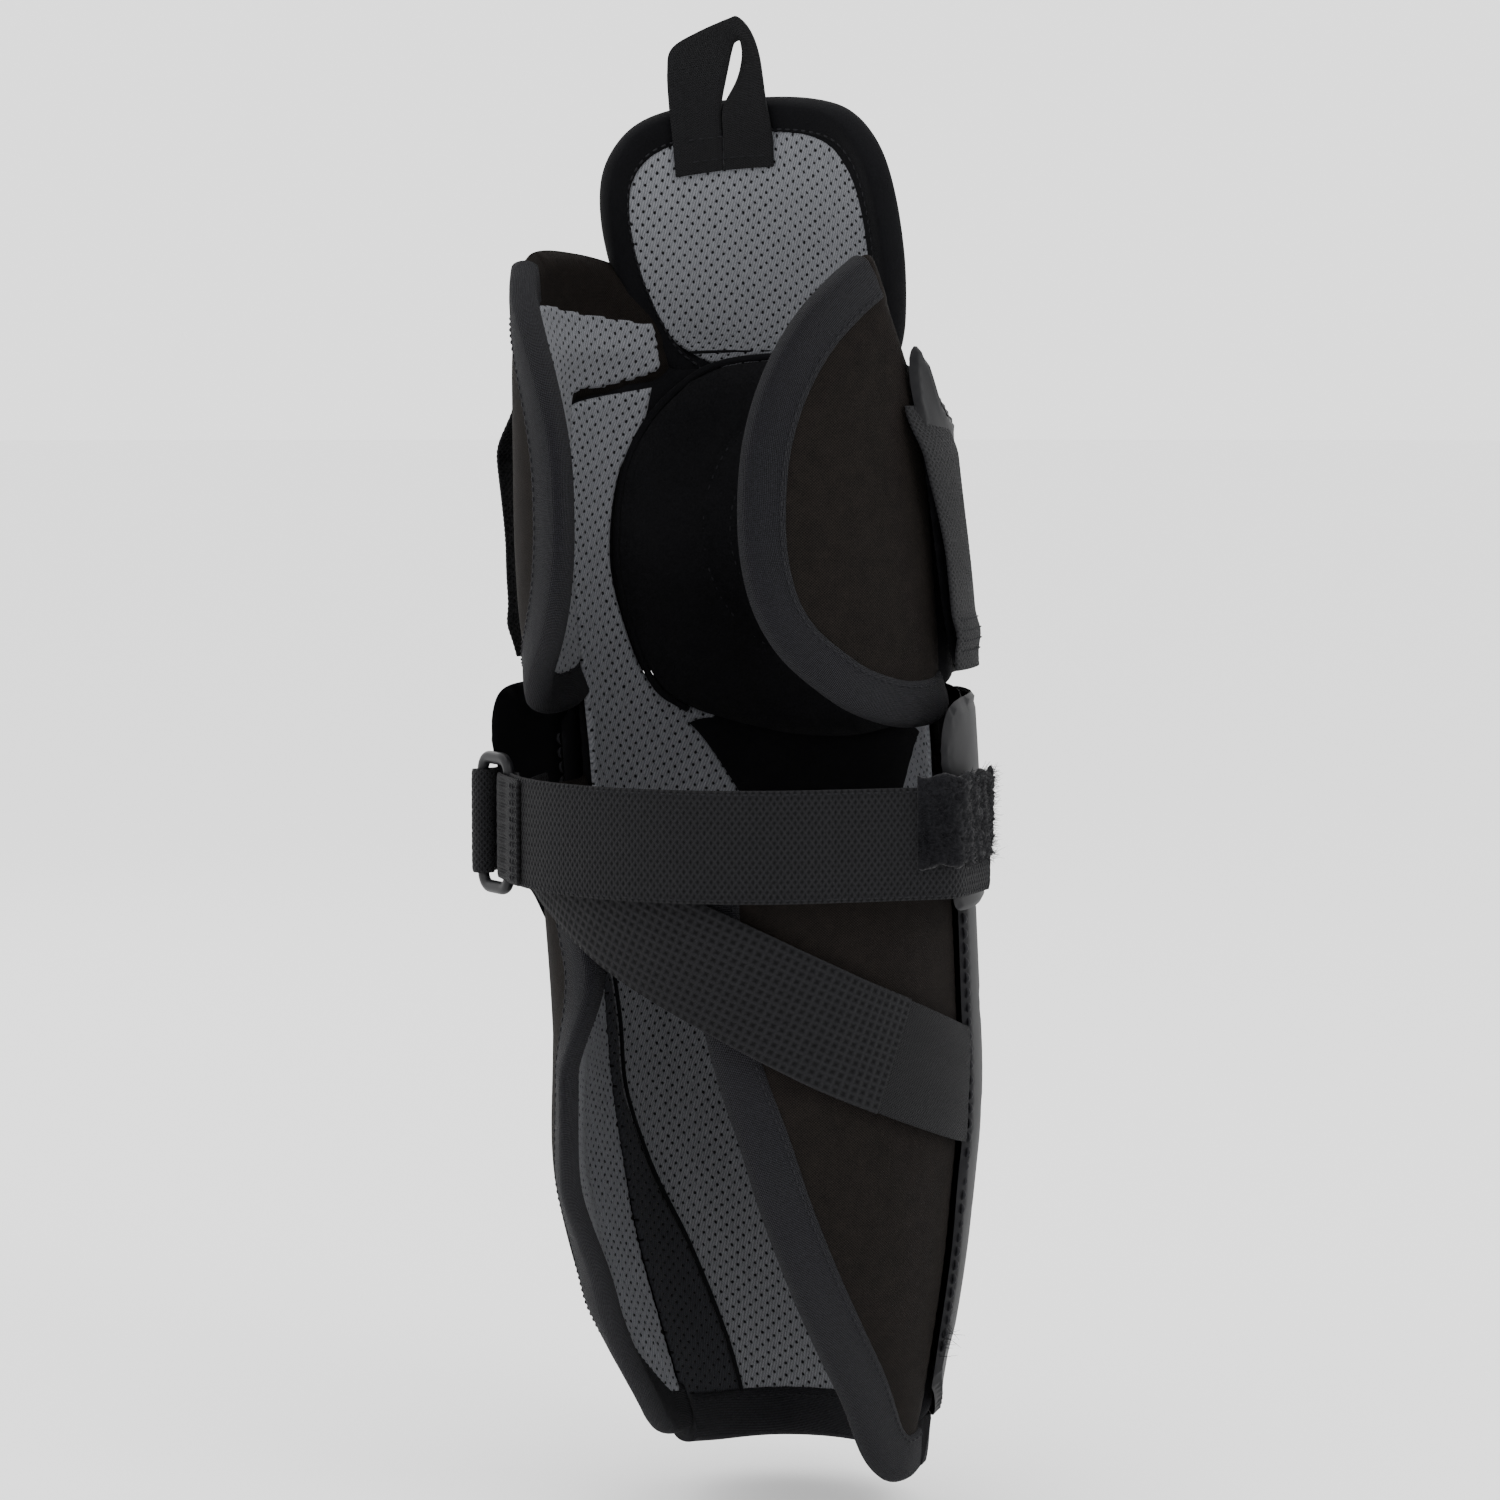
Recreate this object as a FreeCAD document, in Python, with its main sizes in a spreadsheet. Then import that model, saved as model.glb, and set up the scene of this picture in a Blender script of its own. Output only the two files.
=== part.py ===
import FreeCAD, Part
import math
import os
from types import SimpleNamespace

import Sketcher

# Hockey shin guard, in millimetres. +Z is up the leg and +Y is towards the calf, so the hard shells are
# at -Y and the open back of the guard is at +Y. "Left" is +X and "right" is -X. The origin is on the
# leg's axis, level with the middle of the knee cap.
#
# The soft layer of the guard is a wall around the leg. At each level it follows a circle, whose radius
# and centre are given at a few levels (the stations below) and run straight between them. Pieces are
# bands of that wall: they start and end at an angle, counted from +X towards +Y, and lie between two
# offsets from the wall's outer face.

DIMENSIONS = {
    # Stations of the wall: level, radius of the outer face, and how far back the circle's centre is.
    "crown_level": 110, "crown_radius": 72, "crown_centre": 16,
    "knee_level": 0, "knee_radius": 74.5, "knee_centre": 9,
    "neck_level": -60, "neck_radius": 75, "neck_centre": -2,
    "calf_level": -190, "calf_radius": 74, "calf_centre": -20,
    "taper_level": -250, "taper_radius": 66, "taper_centre": -26,
    "ankle_level": -325, "ankle_radius": 49, "ankle_centre": -39,
    # Thicknesses.
    "liner_thickness": 8, "mesh_thickness": 1.2, "canvas_thickness": 1.0, "shell_thickness": 2.5,
    "strap_thickness": 2.0, "shell_gap": 0.5, "piece_gap": 0.2,
    # Angles where the front pieces end and the wings begin.
    "shell_end": -4, "liner_end": -8, "wing_start": 0, "knee_wing_end": 68, "calf_wing_end": 80,
    "front_middle": -90,
    # Knee wing outline, seen from the side.
    "knee_wing_top": 106, "knee_wing_foot": -61, "knee_wing_back": 76, "knee_wing_front": 32,
    "knee_wing_rounding": 46, "knee_wing_crown": 32, "knee_wing_throat": 2, "knee_wing_waist": -14,
    "binding_width": 15, "wing_cut": 30, "inset_rounding": 2, "knee_wing_tip": 4,
    # Calf wing outline, seen from the side.
    "calf_wing_top": -79, "calf_wing_back": 56, "calf_wing_bend_back": 30, "calf_wing_bend_level": -236,
    "calf_wing_turn": -150, "calf_wing_foot_back": -30, "calf_wing_foot": -322, "calf_wing_front": -90,
    "calf_wing_corner": 8, "calf_wing_bend_rounding": 60, "calf_wing_turn_rounding": 40,
    # Shin shell, ridge and liner.
    "shin_shell_top": -42, "shin_shell_foot": -311, "ridge_start": -107, "ridge_top": -72,
    "ridge_foot": -288, "ridge_thickness": 2.5,
    "shin_liner_top": -50, "shin_liner_foot": -304, "binding_foot": -322,
    "lower_mesh_top": -100, "lower_mesh_start": -150, "gusset_top": -118,
    # Ears: flatter than the wall, so they flare out towards the back.
    "ear_radius": 110, "ear_tangent": -40, "ear_lead": 6, "ear_sweep": 41, "ear_top": -45,
    "ear_foot": -118, "ear_thickness": 2.4, "ear_top_rounding": 12, "ear_foot_rounding": 4,
    "rivet_radius": 2.0, "rivet_head_radius": 4.5, "rivet_head_height": 1.4, "rivet_upper": -58,
    "rivet_lower": -100, "rivet_play": 0.1, "rivet_hole_length": 16,
    "hook_patch_start": -28, "hook_patch_end": -4, "hook_patch_top": -77, "hook_patch_foot": -109,
    # Knee cap and the pieces behind it.
    "cap_foot": -47, "cap_belly_low": -12, "cap_belly_high": 36, "cap_top": 76, "cap_end": -5,
    "cap_gap": 0.7, "cap_lap_gap": 4.2, "cap_push": 5.0, "cap_edge_push": 1.0, "cap_thickness": 2.6,
    "cap_shoulder": 46, "cap_shoulder_rounding": 26, "cap_chin_half": 34, "cap_cheek_half": 60,
    "cap_cheek": -37, "cap_side_foot": -33, "cap_side_half": 110, "cap_corner": 10,
    "keeper_gap": 8, "keeper_start": -27, "keeper_end": 5, "keeper_top": 52, "keeper_foot": -28,
    "keeper_thickness": 1.5,
    "knee_liner_top": 56, "knee_liner_foot": -42,
    "knee_pad_start": -159, "knee_pad_top": 68, "knee_pad_foot": -44, "knee_pad_thickness": 7,
    "knee_pad_half_width": 60, "knee_pad_rounding": 26,
    "knee_ring_radius": 44, "knee_ring_hole": 33, "knee_ring_thickness": 3, "knee_ring_level": 8,
    "knee_mesh_start": -19, "top_band_height": 7, "top_band_end": -24,
    # Thigh flap, built upright on its hinge line and then leaned back.
    "thigh_radius": 80, "thigh_front": -62, "thigh_hinge": 76, "thigh_lean": 22, "thigh_foot": 85,
    "thigh_foot_half": 44, "thigh_wide_level": 130, "thigh_wide_half": 60, "thigh_top": 166,
    "thigh_top_half": 50, "thigh_foam_thickness": 7, "thigh_rim": 9, "thigh_corner": 24,
    "thigh_foot_corner": 5, "thigh_half_angle": 54,
    "loop_side": 14, "loop_half_width": 19, "loop_height": 34, "loop_thickness": 3, "loop_slot_half": 3.2,
    "loop_slot_foot": 6, "loop_slot_top": 27, "loop_corner": 9, "loop_slot_corner": 2, "loop_gap": 1.6,
    "tail_top": 165, "tail_foot": 149, "tail_thickness": 1.2, "tail_middle": -79, "tail_half_angle": 15,
    # Ring and straps.
    "strap_top": -74, "strap_foot": -112, "ring_front_x": 89.5, "ring_front_y": 25,
    "ring_back_x": 74, "ring_back_y": 34.5, "ring_bar": 2.0, "ring_reach": 6, "ring_play": 0.4,
    "sleeve_wall": 1.3, "strap_radius": 84.5, "strap_centre": -9, "strap_start": 35,
    "strap_leave": 135, "strap_corner_x": -91, "strap_corner_y": 23, "strap_tip_x": -89,
    "strap_tip_y": -9, "patch_thickness": 0.9, "patch_margin": 1, "anchor_start": -9, "anchor_end": 6,
    "fold_half": 1, "fold_skim": 0.5,
    "lower_gap": 1.2, "lower_start": 36, "lower_end": 183, "lower_root_start": 5, "lower_root_end": 24,
    "lower_top": -78, "lower_root_foot": -112, "lower_root_x": 84.5, "lower_bend_x": 50,
    "lower_bend_rounding": 20, "lower_bend_foot_x": 58, "lower_bend_foot": -114,
    "lower_bend_foot_rounding": 30, "lower_far_x": -79, "lower_far_top": -155, "lower_far_foot": -203,
    "lower_tab_x": -66, "lower_tab_start": 120,
    # Lengths by which cutting outlines reach past the solids, in open directions and at a flush edge.
    "cut_reach": 400, "cut_overlap": 1,
}

QUARTER_TURN = 90
HALF_TURN = 180
NO_ROUNDING = 0
LEFT = 1
RIGHT = -1
SIDE_NAMES = {LEFT: "left", RIGHT: "right"}
# How the sketcher numbers a curve's points and its own origin.
START, END, CENTRE = 1, 2, 3
ORIGIN = -1

# Which way each corner of an outline moves as the outline is drawn in for the layers inside a binding:
# across and up, in widths of the binding.
KNEE_WING_INSETS = ((0, -1), (1, -1), (1, 1), (-0.5, 1), (0, 0))
CALF_WING_INSETS = ((0, -1), (0.3, -0.9), (1, -0.4), (1, 0), (1, 1), (0, 1))
THIGH_INSETS = ((-1, -0.6), (1, -0.6), (1, 0), (1, 1), (-1, 1), (-1, 0))

document = FreeCAD.newDocument("ShinGuard")
sheet = document.addObject("Spreadsheet::Sheet", "Sizes")
pieces = []


class Size:
    """A size known both as a number and as an expression on the sheet."""

    def __init__(self, value, text):
        self.value = float(value)
        self.text = text

    def __add__(self, other):
        other = as_size(other)
        return Size(self.value + other.value, f"({self.text} + {other.text})")

    def __sub__(self, other):
        other = as_size(other)
        return Size(self.value - other.value, f"({self.text} - {other.text})")

    def __mul__(self, other):
        other = as_size(other)
        return Size(self.value * other.value, f"({self.text} * {other.text})")

    def __truediv__(self, other):
        other = as_size(other)
        return Size(self.value / other.value, f"({self.text} / {other.text})")

    def __neg__(self):
        return as_size(0) - self

    def __radd__(self, other):
        return as_size(other) + self

    def __rsub__(self, other):
        return as_size(other) - self

    def __rmul__(self, other):
        return as_size(other) * self


def as_size(number):
    return number if isinstance(number, Size) else Size(number, f"({number})")


def cosine(angle):
    angle = as_size(angle)
    return Size(math.cos(math.radians(angle.value)), f"cos({angle.text} * 1 deg)")


def sine(angle):
    angle = as_size(angle)
    return Size(math.sin(math.radians(angle.value)), f"sin({angle.text} * 1 deg)")


def fill_sheet():
    """Write each dimension in the sheet and return them all as sizes."""
    sizes = {}
    for row, (alias, value) in enumerate(DIMENSIONS.items(), start=1):
        sheet.set(f"A{row}", alias)
        sheet.set(f"B{row}", str(value))
        sheet.setAlias(f"B{row}", alias)
        sizes[alias] = Size(value, f"Sizes.{alias}")
    document.recompute()
    return SimpleNamespace(**sizes)


dim = fill_sheet()
STATIONS = [
    SimpleNamespace(level=dim.ankle_level, radius=dim.ankle_radius, centre=dim.ankle_centre),
    SimpleNamespace(level=dim.taper_level, radius=dim.taper_radius, centre=dim.taper_centre),
    SimpleNamespace(level=dim.calf_level, radius=dim.calf_radius, centre=dim.calf_centre),
    SimpleNamespace(level=dim.neck_level, radius=dim.neck_radius, centre=dim.neck_centre),
    SimpleNamespace(level=dim.knee_level, radius=dim.knee_radius, centre=dim.knee_centre),
    SimpleNamespace(level=dim.crown_level, radius=dim.crown_radius, centre=dim.crown_centre),
]


def station_at(level):
    """The wall's circle at any level, between the two stations around it."""
    for below, above in zip(STATIONS, STATIONS[1:]):
        if level.value <= above.level.value:
            break
    share = (level - below.level) / (above.level - below.level)
    radius = below.radius + (above.radius - below.radius) * share
    centre = below.centre + (above.centre - below.centre) * share
    return SimpleNamespace(level=level, radius=radius, centre=centre)


def levels_between(low, high):
    inside = [s.level for s in STATIONS if low.value < s.level.value < high.value]
    return [low] + inside + [high]


def body_named(label):
    body = document.addObject("PartDesign::Body", label)
    body.Label = label
    return body


def sketch_on(body, role, name, offset=None):
    """A sketch on one of the body's own origin planes, raised by an offset along the plane's normal."""
    sketch = body.newObject("Sketcher::SketchObject", name)
    plane = next(p for p in body.Origin.OriginFeatures if p.Role == role)
    sketch.AttachmentSupport = (plane, "")
    sketch.MapMode = "FlatFace"
    if offset is not None:
        sketch.AttachmentOffset = FreeCAD.Placement(FreeCAD.Vector(0, 0, offset.value), FreeCAD.Rotation())
        sketch.setExpression("AttachmentOffset.Base.z", offset.text)
    return sketch


def constrain(sketch, size, *arguments):
    """Add a dimension to the sketch and bind it to the sheet. Angles are given in degrees."""
    is_angle = arguments[0] == "Angle"
    value = math.radians(size.value) if is_angle else size.value
    number = sketch.addConstraint(Sketcher.Constraint(*arguments, value))
    unit = "1 deg" if is_angle else "1 mm"
    sketch.setExpression(f"Constraints[{number}]", f"{size.text} * {unit}")


def place_point(sketch, geometry, position, across, up):
    constrain(sketch, as_size(across), "DistanceX", ORIGIN, START, geometry, position)
    constrain(sketch, as_size(up), "DistanceY", ORIGIN, START, geometry, position)


def arc_geometry(centre_x, centre_y, radius, start, end):
    circle = Part.Circle(FreeCAD.Vector(centre_x, centre_y, 0), FreeCAD.Vector(0, 0, 1), radius)
    return Part.ArcOfCircle(circle, math.radians(start), math.radians(end))


def band_sketch(body, name, level, inner, outer, centre, start, end):
    """A band between two arcs about one centre, closed by two radial lines."""
    sketch = sketch_on(body, "XY_Plane", name, level)
    across, back = centre
    inner_arc = sketch.addGeometry(
        arc_geometry(across.value, back.value, inner.value, start.value, end.value))
    outer_arc = sketch.addGeometry(
        arc_geometry(across.value, back.value, outer.value, start.value, end.value))
    for angle, position in ((start, START), (end, END)):
        first = sketch.getPoint(inner_arc, position)
        last = sketch.getPoint(outer_arc, position)
        line = sketch.addGeometry(Part.LineSegment(first, last))
        sketch.addConstraint(Sketcher.Constraint("Coincident", line, START, inner_arc, position))
        sketch.addConstraint(Sketcher.Constraint("Coincident", line, END, outer_arc, position))
        sketch.addConstraint(Sketcher.Constraint("PointOnObject", outer_arc, CENTRE, line))
        constrain(sketch, angle, "Angle", line)
    sketch.addConstraint(Sketcher.Constraint("Coincident", inner_arc, CENTRE, outer_arc, CENTRE))
    place_point(sketch, outer_arc, CENTRE, across, back)
    constrain(sketch, inner, "Radius", inner_arc)
    constrain(sketch, outer, "Radius", outer_arc)
    return sketch


def loft_through(body, sketches):
    loft = body.newObject("PartDesign::AdditiveLoft", f"{body.Name}_wall")
    loft.Profile = sketches[0]
    loft.Sections = sketches[1:]
    loft.Ruled = True
    return loft


def mirrored_angles(side, start, end):
    if side == LEFT:
        return as_size(start), as_size(end)
    return HALF_TURN - as_size(end), HALF_TURN - as_size(start)


def wall(label, inner, outer, start, end, low, high, side=LEFT):
    """A band of the wall between two levels, two angles and two offsets from the wall's outer face."""
    body = body_named(label)
    start, end = mirrored_angles(side, start, end)
    sketches = []
    for number, level in enumerate(levels_between(low, high)):
        circle = station_at(level)
        centre = (as_size(0), circle.centre)
        sketches.append(band_sketch(body, f"{label}_level_{number}", level, circle.radius + inner,
                                    circle.radius + outer, centre, start, end))
    loft_through(body, sketches)
    return body


def front_wall(label, inner, outer, end, low, high):
    """A band of the wall that runs round the front, as far on the left as on the right."""
    return wall(label, inner, outer, -HALF_TURN - end, end, low, high)


def corner_tangents(before, corner, after, rounding):
    """Where a rounded corner meets its two edges, and the centre of the rounding."""
    to_before = (before - corner).normalize()
    to_after = (after - corner).normalize()
    half_angle = to_before.getAngle(to_after) / 2
    reach = rounding / math.tan(half_angle)
    bisector = (to_before + to_after).normalize()
    centre = corner + bisector * (rounding / math.sin(half_angle))
    return corner + to_before * reach, corner + to_after * reach, centre


def rounded_corner(sketch, before, corner, after, rounding):
    """Add the arc of one corner, and say which of its ends the outline comes in and goes out by."""
    entry, leaving, centre = corner_tangents(before, corner, after, rounding)
    first = math.atan2(entry.y - centre.y, entry.x - centre.x)
    last = math.atan2(leaving.y - centre.y, leaving.x - centre.x)
    turns_left = (corner - before).cross(after - corner).z > 0
    low, high = (first, last) if turns_left else (last, first)
    if high < low:
        high += 2 * math.pi
    arc = sketch.addGeometry(arc_geometry(centre.x, centre.y, rounding, math.degrees(low),
                                          math.degrees(high)))
    way_in, way_out = (START, END) if turns_left else (END, START)
    return SimpleNamespace(arc=arc, way_in=way_in, way_out=way_out)


def outline(sketch, corners):
    """A closed outline of straight edges and rounded corners, each corner given as (across, up, rounding)."""
    corners = [tuple(as_size(value) for value in corner) for corner in corners]
    points = [FreeCAD.Vector(across.value, up.value, 0) for across, up, _ in corners]
    marks = []
    ends = []
    for number, (across, up, rounding) in enumerate(corners):
        before, corner, after = points[number - 1], points[number], points[(number + 1) % len(points)]
        mark = sketch.addGeometry(Part.Point(corner), True)
        place_point(sketch, mark, START, across, up)
        marks.append(mark)
        if rounding.value == NO_ROUNDING:
            ends.append(None)
            continue
        turn = rounded_corner(sketch, before, corner, after, rounding.value)
        constrain(sketch, rounding, "Radius", turn.arc)
        ends.append(turn)
    for number in range(len(points)):
        following = (number + 1) % len(points)
        outline_edge(sketch, (points[number], marks[number], ends[number]),
                     (points[following], marks[following], ends[following]))


def outline_edge(sketch, leaving, arriving):
    """The straight edge from one corner to the next, each given as its point, its mark and its turn."""
    first, mark_out, turn_out = leaving
    last, mark_in, turn_in = arriving
    if turn_out:
        first = sketch.getPoint(turn_out.arc, turn_out.way_out)
    if turn_in:
        last = sketch.getPoint(turn_in.arc, turn_in.way_in)
    line = sketch.addGeometry(Part.LineSegment(first, last))
    join_edge(sketch, line, START, mark_out, turn_out and (turn_out.arc, turn_out.way_out))
    join_edge(sketch, line, END, mark_in, turn_in and (turn_in.arc, turn_in.way_in))


def join_edge(sketch, line, position, mark, arc_end):
    """Hold one end of an edge to its corner: tangent to the corner's arc, or on the corner itself."""
    if arc_end:
        sketch.addConstraint(Sketcher.Constraint("Tangent", line, position, *arc_end))
        sketch.addConstraint(Sketcher.Constraint("PointOnObject", mark, START, line))
        return
    sketch.addConstraint(Sketcher.Constraint("Coincident", line, position, mark, START))


def frame_outline(sketch):
    """A large rectangle around the outline, so that a pocket removes what lies outside the outline."""
    reach = dim.cut_reach
    outline(sketch, [(-reach, -reach, 0), (reach, -reach, 0), (reach, reach, 0), (-reach, reach, 0)])


def cut_through(body, sketch):
    """Cut a sketch right through the body, both ways, and see that it removed something."""
    document.recompute()
    before = body.Shape.Volume
    pocket = body.newObject("PartDesign::Pocket", f"{sketch.Name}_cut")
    pocket.Profile = sketch
    pocket.Type = "ThroughAll"
    pocket.Midplane = True
    document.recompute()
    if not body.Shape.Volume < before:
        raise RuntimeError(f"{sketch.Name} cut nothing from {body.Label}")


def keep_inside(body, role, corners):
    sketch = sketch_on(body, role, f"{body.Name}_outline")
    frame_outline(sketch)
    outline(sketch, corners)
    cut_through(body, sketch)


def cut_inside(body, role, corners):
    sketch = sketch_on(body, role, f"{body.Name}_opening")
    outline(sketch, corners)
    cut_through(body, sketch)


def circle_sketch(body, role, name, across, up, radius):
    sketch = sketch_on(body, role, name)
    centre = FreeCAD.Vector(across.value, up.value, 0)
    circle = sketch.addGeometry(Part.Circle(centre, FreeCAD.Vector(0, 0, 1), radius.value))
    place_point(sketch, circle, CENTRE, across, up)
    constrain(sketch, radius, "Radius", circle)
    return sketch


def pad_sketch(body, sketch, length):
    pad = body.newObject("PartDesign::Pad", f"{sketch.Name}_pad")
    pad.Profile = sketch
    pad.Length = length.value
    pad.setExpression("Length", length.text)
    return pad


def keep(piece, label=None):
    """Count an object among the pieces of the guard."""
    if label:
        piece.Label = label
    pieces.append(piece)
    return piece


# Shin: shell, ridge, liner and its panels.

def make_shin_shell():
    inner = dim.shell_gap
    shell = front_wall("shin_shell_body", inner, inner + dim.shell_thickness, dim.shell_end, dim.shin_shell_foot,
                       dim.shin_shell_top)
    drill(shell, "shin_shell")


def make_shin_ridge():
    inner = dim.shell_gap + dim.shell_thickness
    ridge = wall("shin_ridge", inner, inner + dim.ridge_thickness, dim.ridge_start,
                 2 * dim.front_middle - dim.ridge_start, dim.ridge_foot, dim.ridge_top)
    keep(ridge)


def make_shin_liner():
    liner = front_wall("shin_liner_foam", -dim.liner_thickness, as_size(0), dim.liner_end,
                       dim.shin_liner_foot, dim.shin_liner_top)
    keep(liner)
    inner = -dim.liner_thickness - dim.mesh_thickness
    mesh_end = -HALF_TURN - dim.lower_mesh_start
    mesh = wall("lower_mesh", inner, -dim.liner_thickness, dim.lower_mesh_start, mesh_end,
                dim.shin_liner_foot, dim.lower_mesh_top)
    keep(mesh)
    for side in (LEFT, RIGHT):
        gusset = wall(f"gusset_mesh_{SIDE_NAMES[side]}", inner, -dim.liner_thickness, mesh_end,
                      dim.liner_end, dim.shin_liner_foot, dim.gusset_top, side)
        keep(gusset)
    binding = front_wall("bottom_binding", inner, as_size(0), dim.liner_end, dim.binding_foot,
                         dim.shin_liner_foot)
    keep(binding)


# Ears, their rivets and the pieces that hold the straps on the shell.

def ear_centre(level, side):
    """Centre of the ear's flatter arc, which touches the wall's circle at the tangent angle."""
    circle = station_at(level)
    touching = circle.radius + dim.shell_gap + dim.shell_thickness + dim.piece_gap
    shift = touching - dim.ear_radius
    return side * shift * cosine(dim.ear_tangent), circle.centre + shift * sine(dim.ear_tangent)


def ear_band(label, inner, outer, start, end, low, high, side):
    """A band of an ear: offsets count from the ear's inner face, angles from +X about the ear's centre."""
    body = body_named(label)
    start, end = mirrored_angles(side, start, end)
    sketches = []
    for number, level in enumerate(levels_between(low, high)):
        centre = ear_centre(level, side)
        sketches.append(band_sketch(body, f"{label}_level_{number}", level, dim.ear_radius + inner,
                                    dim.ear_radius + outer, centre, start, end))
    loft_through(body, sketches)
    return body


def wall_slope(level):
    """How far the wall moves in along the ear's normal for each millimetre up."""
    low, high = level - dim.rivet_head_radius, level + dim.rivet_head_radius
    below, above = station_at(low), station_at(high)
    drop = below.radius + below.centre * sine(dim.ear_tangent)
    rise = above.radius + above.centre * sine(dim.ear_tangent)
    return (drop - rise) / (high - low)


def place_on_normal(piece, side, level, offset):
    """Stand a cylinder on the ear's tangent line, square to the wall, at an offset from its outer face."""
    circle = station_at(level)
    slope = wall_slope(level)
    angle = dim.ear_tangent if side == LEFT else HALF_TURN - dim.ear_tangent
    distance = circle.radius + offset
    across = distance * cosine(angle)
    back = circle.centre + distance * sine(angle)
    up = level + offset * slope
    turn = FreeCAD.Rotation(FreeCAD.Vector(0, 0, 1), angle.value)
    tilt = math.degrees(math.atan(slope.value))
    lay_down = FreeCAD.Rotation(FreeCAD.Vector(0, 1, 0), QUARTER_TURN - tilt)
    piece.Placement = FreeCAD.Placement(FreeCAD.Vector(0, 0, 0), turn.multiply(lay_down))
    for axis, place in (("x", across), ("y", back), ("z", up)):
        piece.setExpression(f"Placement.Base.{axis}", f"{place.text} * 1 mm")


def round_bar(label, radius, length):
    bar = document.addObject("Part::Cylinder", label)
    bar.setExpression("Radius", f"{radius.text} * 1 mm")
    bar.setExpression("Height", f"{length.text} * 1 mm")
    return bar


def make_rivet(label, side, level):
    """A rivet through the ear and the shell, with its head on the ear's outer face."""
    grip = dim.ear_thickness + dim.shell_thickness + dim.piece_gap + dim.rivet_play
    shank = round_bar(f"{label}_shank", dim.rivet_radius, grip + dim.rivet_head_height)
    head = round_bar(f"{label}_head", dim.rivet_head_radius, dim.rivet_head_height)
    place_on_normal(shank, side, level, dim.shell_gap)
    place_on_normal(head, side, level, dim.shell_gap + grip)
    rivet = document.addObject("Part::MultiFuse", label)
    rivet.Shapes = [shank, head]
    return rivet


def rivet_holes(label):
    """Cylinders that clear every rivet's shank, to be cut from a piece that the rivets go through."""
    holes = []
    for side in (LEFT, RIGHT):
        for number, level in enumerate((dim.rivet_upper, dim.rivet_lower)):
            hole = round_bar(f"{label}_{SIDE_NAMES[side]}_{number}", dim.rivet_radius + dim.rivet_play,
                             dim.rivet_hole_length)
            place_on_normal(hole, side, level, -dim.shell_gap)
            holes.append(hole)
    tool = document.addObject("Part::Compound", label)
    tool.Links = holes
    return tool


def drill(body, label):
    """Cut the rivet holes from a body. The result takes over the body's name as a piece."""
    cut = document.addObject("Part::Cut", f"{label}_drilled")
    cut.Base = body
    cut.Tool = rivet_holes(f"{label}_holes")
    body.Label = f"{label}_blank"
    return keep(cut, label)


def make_ears():
    tangent = dim.ear_tangent
    for side in (LEFT, RIGHT):
        name = SIDE_NAMES[side]
        ear = ear_band(f"ear_{name}_body", as_size(0), dim.ear_thickness, tangent - dim.ear_lead,
                       tangent + dim.ear_sweep, dim.ear_foot, dim.ear_top, side)
        round_ear(ear)
        drill(ear, f"ear_{name}")


def round_ear(ear):
    """Round the ear's two free corners, which are at its back edge."""
    document.recompute()
    back = as_size(max(vertex.Point.y for vertex in ear.Shape.Vertexes))
    front = -dim.cut_reach / 2
    foot = dim.ear_foot - dim.cut_overlap
    keep_inside(ear, "YZ_Plane", [(front, foot, 0), (back, foot, dim.ear_foot_rounding),
                                  (back, dim.ear_top, dim.ear_top_rounding), (front, dim.ear_top, 0)])


def make_rivets():
    rivets = []
    for side in (LEFT, RIGHT):
        for number, level in enumerate((dim.rivet_upper, dim.rivet_lower)):
            rivets.append(make_rivet(f"rivet_{SIDE_NAMES[side]}_{number}", side, level))
    group = document.addObject("Part::Compound", "ear_rivets")
    group.Links = rivets
    keep(group)


def make_hook_patch():
    """The hook patch on the right ear's outer face, which the upper strap's fuzzy end grips."""
    inner = dim.ear_thickness + dim.piece_gap
    patch = ear_band("ear_hook_patch", inner, inner + dim.patch_thickness, dim.hook_patch_start,
                     dim.hook_patch_end, dim.hook_patch_foot, dim.hook_patch_top, RIGHT)
    keep(patch)


def make_ring_anchor():
    """Webbing from the left ear to the strap ring, with a sleeve round the ring's front bar."""
    inner = dim.ear_thickness + dim.piece_gap
    band = ear_band("ring_anchor", inner, inner + dim.strap_thickness, dim.anchor_start, dim.anchor_end,
                    dim.strap_foot, dim.strap_top, LEFT)
    sleeve_radius = dim.ring_bar + dim.ring_play + dim.sleeve_wall
    sleeve = circle_sketch(band, "XY_Plane", "ring_anchor_sleeve", dim.ring_front_x, dim.ring_front_y,
                           sleeve_radius)
    raise_sketch(sleeve, dim.strap_foot)
    pad_sketch(band, sleeve, dim.strap_top - dim.strap_foot)
    bore = circle_sketch(band, "XY_Plane", "ring_anchor_bore", dim.ring_front_x, dim.ring_front_y,
                         dim.ring_bar + dim.ring_play)
    cut_through(band, bore)
    keep(band)


def raise_sketch(sketch, level):
    sketch.AttachmentOffset = FreeCAD.Placement(FreeCAD.Vector(0, 0, level.value), FreeCAD.Rotation())
    sketch.setExpression("AttachmentOffset.Base.z", level.text)


# Knee: cap, its keepers, liner, pad, ring and side mesh.

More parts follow.
